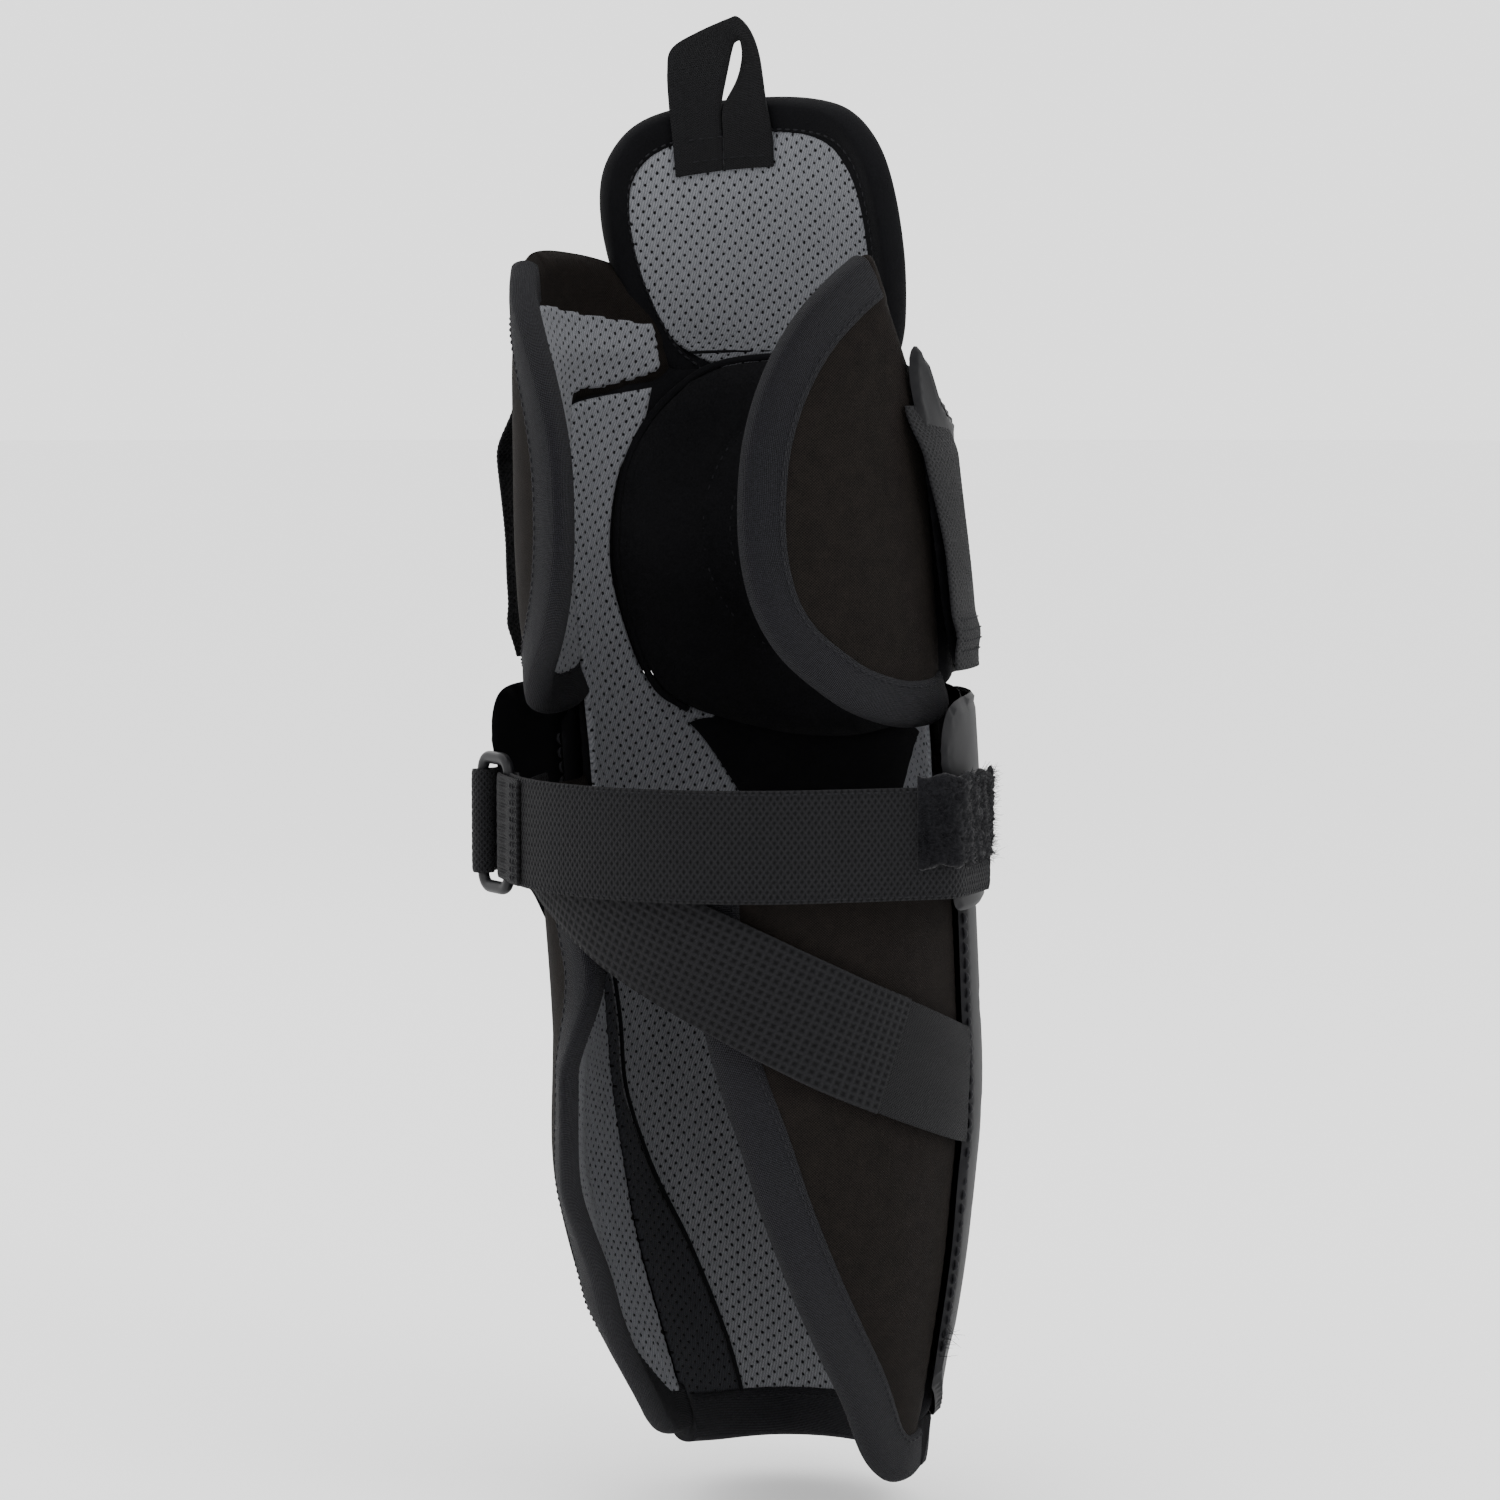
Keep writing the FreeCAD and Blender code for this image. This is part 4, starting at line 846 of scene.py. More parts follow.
def make_lower_mesh(place):
    left = side_line(SEAM[::-1])
    right = side_line(other_side(SEAM[::-1]))
    foot = side_line([(-138, -313), (-110, -313), (-70, -313), (-42, -313)])
    top = side_line([(-8, -118), (-9, -106), (-22, -102), (-50, -100), (-90, -100), (-130, -100),
                     (-158, -102), (-171, -106), (-172, -118)])
    main = mesh_panel("lower_mesh_panel", closed_outline(foot, left, top, right), place, -8.0, lower_mesh,
                      proud=1.6)
    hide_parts("lower_mesh")
    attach(main, "shin_body")
    for side in (LEFT, RIGHT):
        outline = closed_outline(side_line([(-42, -313), (-8, -313)]),
                                 side_line([(-8, -313), (-6, -200), (-7, -116)]), left[::-1])
        gusset = mesh_panel(f"gusset_panel_{SIDES[side]}", outline, wall_place(side), -7.6, dark_mesh)
        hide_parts(f"gusset_mesh_{SIDES[side]}")
        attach(gusset, "shin_body")
        outline = closed_outline(side_line([(-66, -98), (-8, -98)]), side_line([(-8, -98), (-8, -54)]),
                                 side_line([(-8, -54), (-30, -54), (-48, -64), (-66, -98)]))
        patch = mesh_panel(f"shin_side_mesh_{SIDES[side]}", outline, wall_place(side), -8.0, light_mesh)
        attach(patch, "shin_body")
        welt = wall_place(side)(side_line(SEAM[1:], 1.5), -9.3)
        cord_piece(f"seam_welt_{SIDES[side]}", welt, 0.75, "shin_body")
    edge = side_line([(-172, -328), (-150, -330), (-120, -330), (-90, -330), (-60, -330), (-30, -330),
                      (-8, -328)], 2.4)
    hem = trim("bottom_trim", edge, place, 0.3, -9.4, 18, binding, lift=0.6)
    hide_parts("bottom_binding")
    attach(hem, "shin_body")
    row = trim_stitches("bottom_stitches", edge, place, -9.4, 15.5, 0.7, sign=-1)
    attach(row, "shin_body")


def tube(line, radius, around=8):
    """Points and faces of a round tube along a line, with its ends closed."""
    line = np.asarray(line, float)
    radius = np.broadcast_to(radius, len(line))
    ahead = np.gradient(line, axis=0)
    ahead /= np.linalg.norm(ahead, axis=1)[:, None]
    side = np.cross(ahead[0], (0, 0, 1.0))
    if np.linalg.norm(side) < 0.2:
        side = np.cross(ahead[0], (0, 1.0, 0))
    points = []
    for p, a, r in zip(line, ahead, radius):
        side = side - a * (side @ a)
        side /= np.linalg.norm(side)
        other = np.cross(a, side)
        for turn in np.linspace(0, 2 * np.pi, around, endpoint=False):
            points.append(p + r * (side * math.cos(turn) + other * math.sin(turn)))
    faces = [(a, d, c, b) for a, b, c, d in grid_faces(len(line), around, True)]
    faces.append(tuple(range(around)))
    faces.append(tuple(range(len(points) - 1, len(points) - around - 1, -1)))
    return np.array(points), faces


def cord_piece(name, line, radius, body):
    """A round piping or welt that rides with a body."""
    points, faces = tube(line, radius)
    made = piece(name, points, faces, smooth_black)
    fix_normals(made)
    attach(made, body)


make_shin_liner()


# Knee: liner, side mesh, and the pad with its two sewn grooves.

PAD_MIDDLE = -11
GROOVES = (46, 34)
PAD_LEFT = [(-62, -62), (-47, -56), (-35, -45), (-27.5, -22), (-25, 0), (-28.5, 28), (-38, 47), (-52, 62)]


def make_knee_liner():
    place = wall_place()
    outline = closed_outline(side_line([(-172, -44), (-120, -44), (-60, -44), (-8, -44)], 3),
                             side_line([(-8, -44), (-8, 56)], 3),
                             side_line([(-8, 56), (-40, 66), (-90, 70), (-140, 66), (-172, 56)], 3),
                             side_line([(-172, 56), (-172, -44)], 3))
    flat, faces = fill(outline, 5.0)
    edge = depth(flat, outline)
    rounded = rounding(edge, 5)
    liner = closed_sheet("knee_liner", flat, faces, place, LINER_MIDDLE + LINER_HALF * rounded,
                         LINER_MIDDLE - LINER_HALF * rounded, smooth_black)
    fix_normals(liner)
    finer(liner)
    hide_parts("knee_liner_foam", "knee_top_band")
    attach(liner, "knee_body")
    for side in (LEFT, RIGHT):
        outline = closed_outline(side_line([(-60, -60), (-47, -62), (-30, -74), (-8, -66)]),
                                 side_line([(-8, -66), (-6, 0), (-7, 52)]),
                                 side_line([(-7, 52), (-12, 55), (-40, 60)]),
                                 side_line([(-40, 60), (-36, 44), (-27, 28), (-23, 0), (-26, -22), (-33, -44),
                                            (-46, -55), (-60, -60)]))
        panel = mesh_panel(f"knee_side_mesh_{SIDES[side]}", outline, wall_place(side), -7.9, light_mesh)
        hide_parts(f"knee_mesh_{SIDES[side]}")
        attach(panel, "knee_body")


def make_knee_pad():
    place = wall_place()
    top = [(-52, 62), (-66, 68), (-90, 70), (-114, 68), (-128, 62)]
    foot = [(-118, -62), (-100, -66), (-80, -66), (-62, -62)]
    outline = closed_outline(*[side_line(line, 3) for line in (foot, PAD_LEFT, top, other_side(PAD_LEFT))])
    flat, faces = fill(outline, 3.6)
    edge = depth(flat, outline)
    rounded = rounding(edge, 12)
    centre = np.array([np.radians(-90) * 74.5, 8.0])
    away = np.linalg.norm(flat - centre, axis=1)
    groove = hump(away, GROOVES[0], 2.2)
    inner_groove = hump(away, GROOVES[1], 2.0)
    inner = PAD_MIDDLE - 4.2 * rounded + 2.0 * groove * rounded + 1.3 * inner_groove * rounded
    outer = PAD_MIDDLE + 2.8 * rounded
    pad = closed_sheet("knee_cushion", flat, faces, place, outer, inner, brushed)
    rim = np.abs(outer - inner) < 1e-6
    hold = np.maximum(np.clip(1 - edge / 4, 0, 1), np.maximum(groove, inner_groove))
    swell(pad, np.concatenate([np.maximum(hold, 0.99), hold[~rim]]), most=2.4)
    finer(pad)
    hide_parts("knee_pad", "knee_ring")
    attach(pad, "knee_body")
    for radius, level in zip(GROOVES, (-13.6, -14.2)):
        turn = np.linspace(0, 2 * np.pi, 180)
        line = centre + radius * np.stack([np.cos(turn), np.sin(turn)], -1)
        line = line[(depth(line, outline) > 6) & inside(line, outline)]
        row = sewn_row(f"knee_stitches_{radius}", place(line, level), -normals_of(place, line, level), thread,
                       2.6, 1.2, 0.28)
        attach(row, "knee_body")
    pipe = side_line([(-46, -57), (-35, -47), (-27, -22), (-24.5, 0), (-28, 28), (-37.5, 48), (-52, 63),
                      (-66, 69.5), (-90, 71.5), (-114, 69.5), (-128, 63), (-142.5, 48), (-152, 28),
                      (-155.5, 0), (-153, -22), (-145, -47), (-134, -57)], 2)
    cord_piece("knee_piping", place(pipe, -9.6), 1.3, "knee_body")


make_knee_liner()
make_knee_pad()


# Thigh flap: one padded sheet that grows out of the knee liner's top and leans back from its hinge line.

FLAP_RADIUS, FLAP_FRONT, FLAP_LEAN, FLAP_START = 80.0, -61.6, 22.0, 40.0
FLAP_SIDE, FLAP_WIDTH = 9.5, 0.885
FLAP_STEP = 0.5
FLAP_ROWS = np.arange(FLAP_START, 210.0, FLAP_STEP)
FLAP_TILT = np.radians(FLAP_LEAN * smooth_step(FLAP_ROWS, 62, 90))
FLAP_Y = FLAP_FRONT + np.concatenate([[0], np.cumsum(np.sin(FLAP_TILT[:-1]) * FLAP_STEP)])
FLAP_Z = FLAP_START + np.concatenate([[0], np.cumsum(np.cos(FLAP_TILT[:-1]) * FLAP_STEP)])


def flap_place(flat, offset):
    """Flat points are (across, height before leaning). Offsets count from the flap's outer face."""
    height = flat[:, 1]
    tilt = np.interp(height, FLAP_ROWS, FLAP_TILT)
    y = np.interp(height, FLAP_ROWS, FLAP_Y)
    z = np.interp(height, FLAP_ROWS, FLAP_Z)
    angle = (FLAP_SIDE + FLAP_WIDTH * flat[:, 0]) / FLAP_RADIUS
    reach = FLAP_RADIUS - (FLAP_RADIUS + offset) * np.cos(angle)
    x = (FLAP_RADIUS + offset) * np.sin(angle)
    return np.stack([x, y + reach * np.cos(tilt), z - reach * np.sin(tilt)], -1)


def mirror_half(points):
    """A closed outline from its half, which runs from the middle of the foot up to the middle of the top."""
    points = np.array(points, float)
    other = points[::-1] * (-1, 1)
    return np.vstack([points, other[1:-1]])


def make_thigh_flap():
    half = [(0, 52), (30, 53), (48, 58), (56, 70), (61, 84), (66, 100), (69, 116), (69.5, 134), (66, 149),
            (58, 159), (46, 165.5), (28, 168), (0, 168.5)]
    outline = curve(mirror_half(half), 3.0, closed=True)
    flat, faces = fill(outline, 4.0)
    edge = depth(flat, outline)
    rounded = rounding(edge, 8)
    crease = hump(flat[:, 1], 77, 3.0)
    outer = -4.0 + (3.8 - 1.6 * crease) * rounded
    inner = -4.0 - (3.6 - 1.4 * crease) * rounded
    pad = closed_sheet("thigh_pad", flat, faces, flap_place, outer, inner, smooth_black)
    rim = np.abs(outer - inner) < 1e-6
    hold = np.maximum(np.clip(1 - (edge - 9) / 6, 0, 1), crease)
    swell(pad, np.concatenate([hold, hold[~rim]]), most=2.4)
    finer(pad)
    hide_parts("thigh_cover", "thigh_foam")
    panel_half = [(0, 62), (16, 64), (31, 70), (40, 77), (48, 87), (54, 99), (57.5, 114), (58, 130),
                  (55, 143), (47, 152), (35, 156.5), (20, 158), (0, 158.5)]
    panel_outline = curve(mirror_half(panel_half) + (3.0, 0), 2.0, closed=True)
    panel = mesh_panel("thigh_panel", panel_outline, flap_place, -7.4, light_mesh, proud=1.2)
    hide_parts("thigh_mesh")
    edge_half = [(44, 60), (54, 71), (60, 84), (65.5, 100), (69, 116), (69.5, 134), (66, 149), (58, 159),
                 (46, 165.5), (28, 168), (0, 168.5)]
    other = (np.array(edge_half, float) * (-1, 1))[::-1]
    edge_line = curve(np.vstack([edge_half, other[1:]]), 2.4)
    rim_trim = trim("thigh_trim", edge_line, flap_place, -0.6, -7.6, 10.5, smooth_black,
                    taper=30)
    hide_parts("thigh_binding")
    seam = curve([(-43, 77), (-20, 75.5), (0, 75), (20, 75.5), (43, 77)], 1.5)
    seam_points, seam_faces = tube(flap_place(seam, -8.6), 0.55)
    groove = piece("thigh_seam", seam_points, seam_faces, smooth_black)
    fix_normals(groove)
    row = trim_stitches("thigh_stitches", edge_line, flap_place, -7.6, 9.2, 0.9, sign=-1)
    for thing in (pad, panel, rim_trim, groove, row):
        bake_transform(thing)


make_thigh_flap()


# Shells, ears and rivets.

def shell(name, outline, place, inner, thickness, relief, pitch=2.8, bead=0.9, body="shin_body"):
    """A moulded shell: rounded edges, a thicker bead along them and a relief on its outer face. Inner is the
    inner face's offset, and relief is a function of the flat points."""
    flat, faces = fill(outline, pitch)
    edge = depth(flat, outline)
    rounded = rounding(edge, 1.6)
    middle = (inner(flat) if callable(inner) else inner) + thickness / 2
    lip = bead * hump(edge, 2.2, 1.9)
    top = middle + (thickness / 2 + lip + relief(flat) * smooth_step(edge, 2, 6)) * rounded
    bottom = middle - thickness / 2 * rounded
    made = closed_sheet(name, flat, faces, place, top, bottom, plastic)
    fix_normals(made)
    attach(made, body)
    return made


def band(value, centre, half, soft=2.0):
    """1 within half of the centre, falling to 0 over the soft width."""
    return 1 - smooth_step(np.abs(value - centre), half, half + soft)


def shin_relief(flat):
    from_front = np.abs(angle_of(flat) + 90)
    level = flat[:, 1]
    flute = -0.9 * band(from_front, 33, 3.0, 2.5) * band(level, -182, 96, 10)
    step = 0.9 * smooth_step(from_front, 44, 47) * band(level, -190, 84, 14)
    slots = 0.0
    for centre in (-120, -160, -200, -240):
        slots = slots - 1.3 * band(level - 0.5 * (from_front - 61), centre, 3.2)
    slots = slots * band(from_front, 61, 7)
    brow = 0.8 * band(level, -68, 3.0, 3.0)
    return flute + step + slots + brow


def make_shin_shell():
    place = wall_place()
    foot = side_line([(-176, -296), (-150, -313), (-120, -311), (-90, -312), (-60, -311), (-30, -313),
                      (-4, -296)])
    left = side_line([(-4, -296), (-3.5, -250), (-3.5, -190), (-4, -120), (-5, -60)])
    top = side_line([(-5, -60), (-20, -48), (-50, -44), (-90, -43), (-130, -44), (-160, -48), (-175, -60)])
    right = side_line([(-175, -60), (-176, -120), (-176.5, -190), (-176.5, -250), (-176, -296)])
    made = shell("shin_plate", closed_outline(foot, left, top, right), place, 0.5, 2.5, shin_relief)
    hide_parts("shin_shell")
    for side in (LEFT, RIGHT):
        edge = side_line([(-5.2, level) for level in (-64, -110, -160, -200, -240, -286)], 1.5)
        hull = wall_place(side)
        row = sewn_row(f"shell_stitches_{SIDES[side]}", hull(edge, 3.5), normals_of(hull, edge, 3.5), thread,
                       4.2, 1.1, 0.75)
        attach(row, "shin_body")
        end = edge[-12:]
        fibres(f"shell_fray_{SIDES[side]}", hull(end, 2.0), normals_of(hull, end, 2.0), upright(end), 3, 26,
               6.0, "shin_body", 0.12)
    low, high = -288, -72
    ridge_line = [(-105, low + 12), (-98, low + 2), (-90, low), (-82, low + 2), (-75, low + 12),
                  (-73.5, -240), (-72, -180), (-71.5, -120), (-74, high - 10), (-82, high - 1), (-90, high),
                  (-98, high - 1), (-106, high - 10), (-108.5, -120), (-108, -180), (-106.5, -240)]
    outline = curve(wall_outline(ridge_line), 2.0, closed=True)

    def keel(flat):
        angle = angle_of(flat) + 90
        ribs = 0.0
        for centre in range(-270, -80, 18):
            ribs = ribs - 0.7 * band(flat[:, 1] + 0.6 * np.abs(angle), centre, 1.2, 1.4)
        return 1.2 * hump(angle, 0, 7) + ribs * band(angle, 0, 9, 3)

    ridge = shell("shin_keel", outline, place, 2.7, 2.3, keel, 2.2, 0.3)
    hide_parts("shin_ridge")


def cap_inner(flat):
    level = flat[:, 1]
    angle = flat[:, 0] / circle(level)[0]
    forward = np.clip(-np.sin(angle), 0, 1)
    gap = np.interp(level, (-47, -14, 80), (4.2, 0.9, 0.9))
    push = np.interp(level, (-47, -12, 36, 76), (1, 5, 5, 1))
    return gap + push * forward


def cap_relief(flat):
    level = flat[:, 1] - 14
    across = (angle_of(flat) + 90) * 1.3
    oval = np.sqrt((across / 40) ** 2 + (level / 42) ** 2)
    boss = 1.6 * (1 - smooth_step(oval, 0.86, 1.0)) - 1.0 * band(oval, 0.62, 0.03, 0.05)
    vents = 0.0
    for centre in (-16, 0, 16):
        vents = vents - 1.4 * band(level + 0.25 * (np.abs(across) - 64), centre, 2.6)
    return boss + vents * band(np.abs(across), 64, 9, 2.5) + 0.8 * band(level, -44, 2.4, 3)


def make_knee_cap():
    wall_at = wall_place()

    def place(flat, offset):
        """The left rear edge stands further off the wall than the right one."""
        lift = 6.5 * smooth_step(angle_of(flat), -24, 2) * band(flat[:, 1], 4, 28, 34)
        return wall_at(flat, offset + lift)

    half = [(-90, -47), (-66, -47), (-46, -41), (-28, -37), (-12, -36), (-5, -33), (-4, -14), (-1.5, 8),
            (1.5, 30), (5, 48), (8, 62), (7.5, 71), (4, 74), (-2, 68), (-9, 56), (-19, 49.5), (-32, 51),
            (-46, 60), (-60, 69), (-75, 75.5), (-90, 77.5)]
    outline = curve(wall_outline(half + other_side(half)[1:-1]), 2.2, closed=True)
    made = shell("knee_plate", outline, place, cap_inner, 2.5, cap_relief, 2.6, 0.5, "knee_body")
    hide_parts("knee_cap_shell")


EAR_RADIUS, EAR_TANGENT, EAR_LIFT = 110.0, -40.0, 3.2


def ear_place(side):
    """Flat points are (arc length from the tangent line, level). Offsets count from the ear's inner face."""
    def place(flat, offset):
        radius, centre = circle(flat[:, 1])
        shift = radius + EAR_LIFT - EAR_RADIUS
        tangent = math.radians(EAR_TANGENT)
        angle = tangent + flat[:, 0] / EAR_RADIUS
        x = shift * math.cos(tangent) + (EAR_RADIUS + offset) * np.cos(angle)
        y = centre + shift * math.sin(tangent) + (EAR_RADIUS + offset) * np.sin(angle)
        return np.stack([x * side, y, flat[:, 1]], -1)
    return place


EAR_FOOT = {LEFT: [(-11, -112), (-9, -130), (0, -150), (14, -160), (32, -161), (42, -156), (49, -146),
                   (57, -132), (65, -120)],
            RIGHT: [(-11, -112), (-6, -117.5), (10, -118), (40, -118), (66, -118)]}
EAR_TOP = [(76, -116.5), (78.5, -110), (78.8, -90), (79.5, -76), (82.5, -66), (80, -54), (71, -46.5),
           (50, -44.5), (20, -45), (-6, -46), (-11, -52), (-11.5, -82)]
HOOK_PATCH = [(24, -109), (66, -109), (67, -108), (67, -78), (66, -77), (24, -77), (23, -78), (23, -108)]
EAR_HALF, EAR_FACE = 1.2, 2.45


def make_ears():
    for side in (LEFT, RIGHT):
        place = ear_place(side)
        outline = curve(EAR_FOOT[side] + EAR_TOP, 1.8, closed=True)
        flat, faces = fill(outline, 2.6)
        edge = depth(flat, outline)
        rise = (EAR_HALF - 0.45 * band(edge, 4.0, 0.5, 0.8)) * rounding(edge, 1.2)
        made = closed_sheet(f"ear_plate_{SIDES[side]}", flat, faces, place, EAR_HALF + rise, EAR_HALF - rise,
                            plastic)
        fix_normals(made)
        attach(made, "shin_body")
        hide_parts(f"ear_{SIDES[side]}")
    patch_outline = curve(HOOK_PATCH, 1.2, closed=True)
    flat, faces = fill(patch_outline, 1.2)
    edge = depth(flat, patch_outline)
    bristle = 0.35 * np.cos(2 * np.pi * flat[:, 0] / 2.6) * np.cos(2 * np.pi * flat[:, 1] / 2.6)
    lift = np.where(edge > 0.3, 1.0 + bristle, 0.0)
    patch = closed_sheet("hook_patch", flat, faces, ear_place(RIGHT), EAR_FACE + lift,
                         EAR_FACE - 0.05 * (edge > 0.3), webbing)
    fix_normals(patch)
    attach(patch, "shin_body")
    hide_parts("ear_hook_patch")


def make_rivets():
    """Domed rivet heads with a rolled rim, on the ears' outer faces. The profile is (radius, height)."""
    profile = [(0.0, 1.75), (1.2, 1.7), (2.2, 1.5), (2.9, 1.15), (3.2, 0.95), (3.6, 1.1), (4.1, 0.95),
               (4.45, 0.5), (4.5, 0.0), (2.0, -0.1), (2.0, -5.0), (0.0, -5.0)]
    points, faces = [], []
    around = 28
    for side in (LEFT, RIGHT):
        place = ear_place(side)
        for level in (-58, -100):
            spot = np.array([[0.0, level]])
            centre = place(spot, EAR_FACE)[0]
            out = normals_of(place, spot, EAR_FACE)[0]
            ahead = np.array([-out[1], out[0], 0])
            ahead /= np.linalg.norm(ahead)
            up = np.cross(out, ahead)
            base = len(points)
            for radius, lift in profile:
                for turn in np.linspace(0, 2 * np.pi, around, endpoint=False):
                    spoke = ahead * math.cos(turn) + up * math.sin(turn)
                    points.append(centre + out * lift + radius * spoke)
            faces += grid_faces(len(profile), around, True, base)
    made = piece("ear_rivet_heads", points, faces, rivet_metal)
    merge_close(made)
    fix_normals(made)
    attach(made, "shin_body")
    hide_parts("ear_rivets")


def merge_close(thing, distance=0.02 * MM):
    """Joins a turned profile's doubled points on its axis."""
    shape = bmesh.new()
    shape.from_mesh(thing.data)
    bmesh.ops.remove_doubles(shape, verts=shape.verts, dist=distance)
    shape.to_mesh(thing.data)
    shape.free()


# Keepers, ring and straps.

def hatch(run, wide, period=2.3, slope=0.7):
    return 0.16 * np.maximum(np.cos(2 * np.pi * (run + slope * wide) / period),
                             np.cos(2 * np.pi * (run - slope * wide) / period))


def fine_hatch(run, wide):
    return hatch(run, wide, 1.7)


def cells(run, wide, period=2.9):
    return 0.18 * np.maximum(np.cos(2 * np.pi * run / period), np.cos(2 * np.pi * wide / period))


def upright(points):
    return np.tile((0.0, 0.0, 1.0), (len(points), 1))


def level_out(points, towards):
    """Level normals of a line, on the side that faces away from a point in plan."""
    out = line_normals(points)
    sign = np.sign((out[:, :2] * (points[:, :2] - towards)).sum(1))
    return out * np.where(sign == 0, 1, sign)[:, None]


KEEPER_HALF, KEEPER_CURL = 17.5, 220.0


def make_keepers():
    for side in (LEFT, RIGHT):
        level = np.linspace(-36, 54, 100)
        bow = 5.9 + 2.4 * smooth_step(-level, -44, 14) - 4.5 * smooth_step(level, 36, 54)
        if side == LEFT:
            bow = bow + 6.0 * band(level, 4, 28, 34)
        fold = 1.4 * hump(level, -24, 5)
        angle = 8.0 * smooth_step(level, 0, 54) - 11.0
        centre = wall(angle, level, bow + fold, side)
        out = wall(angle, level, bow + fold + 1, side) - centre
        out[:, 2] = 0
        out /= np.linalg.norm(out, axis=1)[:, None]
        across = np.stack([-out[:, 1], out[:, 0], out[:, 2]], -1) * side
        points, uv = [], []
        run = lengths(centre)
        for face, share in section(np.linspace(-1, 1, 41)):
            wide = share * KEEPER_HALF
            height = face * 0.75 * rolled(share, 0.6) - wide ** 2 / KEEPER_CURL
            weave = face * hatch(run, wide, 1.9) * 0.8
            points.append(centre + across * wide + out * (height + weave)[:, None])
            uv.append(weave_at(run, wide))
        strip = folded_strip(f"keeper_{SIDES[side]}", points, uv, elastic)
        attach(strip, "knee_body")
        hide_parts(f"cap_keeper_{SIDES[side]}")
        for number, level_at in enumerate((-19, -22.5, -26, -29.5)):
            at = int(np.argmin(abs(level - level_at)))
            wide = np.linspace(-15, 15, 40)[:, None]
            line = centre[at] + across[at] * wide + out[at] * (1.05 - wide ** 2 / KEEPER_CURL)
            row = sewn_row(f"keeper_stitches_{SIDES[side]}_{number}", line, np.tile(out[at], (40, 1)), thread,
                           2.0, 0.9, 0.26)
            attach(row, "knee_body")


RING_FRONT, RING_BACK = np.array([89.5, 25.0]), np.array([74.0, 34.5])
STRAP_LEVEL, STRAP_HALF = -93.0, 19.0


def make_ring():
    """A rounded rectangular ring, swept with a slightly flattened section."""
    ahead = (RING_BACK - RING_FRONT) / np.linalg.norm(RING_BACK - RING_FRONT)
    length = np.linalg.norm(RING_BACK - RING_FRONT)
    low, high, corner = -116.0, -70.0, 5.0
    path = []
    corners = [(length - corner, high - corner), (corner, high - corner), (corner, low + corner),
               (length - corner, low + corner)]
    for quarter, (along, level) in enumerate(corners):
        for turn in np.radians(np.linspace(90 * quarter, 90 * quarter + 90, 9)):
            path.append((along + corner * math.cos(turn), level + corner * math.sin(turn)))
    path = evenly(path, 150, closed=True)
    line = at_level(RING_FRONT + path[:, :1] * ahead, path[:, 1])
    normal = np.array([-ahead[1], ahead[0], 0])
    tangent = np.roll(line, -1, 0) - np.roll(line, 1, 0)
    tangent /= np.linalg.norm(tangent, axis=1)[:, None]
    turns = np.linspace(0, 2 * np.pi, 18, endpoint=False)[:, None]
    wobble = 1 + 0.05 * np.cos(3 * turns)
    rows = []
    for p, t in zip(line, tangent):
        side = np.cross(t, normal)
        rows.append(p + (side * 2.3 * np.cos(turns) + normal * 1.9 * np.sin(turns)) * wobble)
    ring = folded_strip("strap_ring_bar", rows, None, ring_plastic, closed=True)
    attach(ring, "ring_body")
    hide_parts("strap_ring")


def arc_xy(radius, start, end, count=60, centre=(0.0, -9.0)):
    turn = np.radians(np.linspace(start, end, count))
    return np.stack([centre[0] + radius * np.cos(turn), centre[1] + radius * np.sin(turn)], -1)


def at_level(xy, level):
    """Points in the plan, given a level or one level each."""
    return np.column_stack([xy, np.broadcast_to(level, len(xy))])


def strap_line():
    """The upper strap in plan: round the calf on an arc, then forward along the right ear."""
    arc = arc_xy(85.5, 36, 135, 80)
    bend = [(-68, 45), (-76, 37.5), (-84, 30), (-89.2, 24.6), (-91.4, 19), (-91.2, 10), (-90.6, 0),
            (-90.0, -9)]
    return curve(np.vstack([arc, bend]), 0.75)


def make_upper_strap():
    line = at_level(strap_line(), STRAP_LEVEL)
    line[:, 2] += 0.6 * np.sin(np.linspace(0, 2.6, len(line)))
    out = level_out(line, (0, -9))
    strap = flat_strip("upper_strap_band", line, out, upright(line), STRAP_HALF, 1.8, elastic,
                       hatch, 0.8)
    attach(strap, "upper_strap_body")
    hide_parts("upper_strap")
    for number, height in enumerate((STRAP_HALF - 1.3, 1.3 - STRAP_HALF)):
        edge = line + upright(line) * height + out * 1.05
        row = sewn_row(f"upper_strap_ladder_{number}", edge, out, thread, 1.5, 1.3, 0.24)
        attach(row, "upper_strap_body")
    make_patch(line, out)
    make_folds()


PATCH_LENGTH, PATCH_RISE, PATCH_HALF = 46.0, 7.5, 15.5


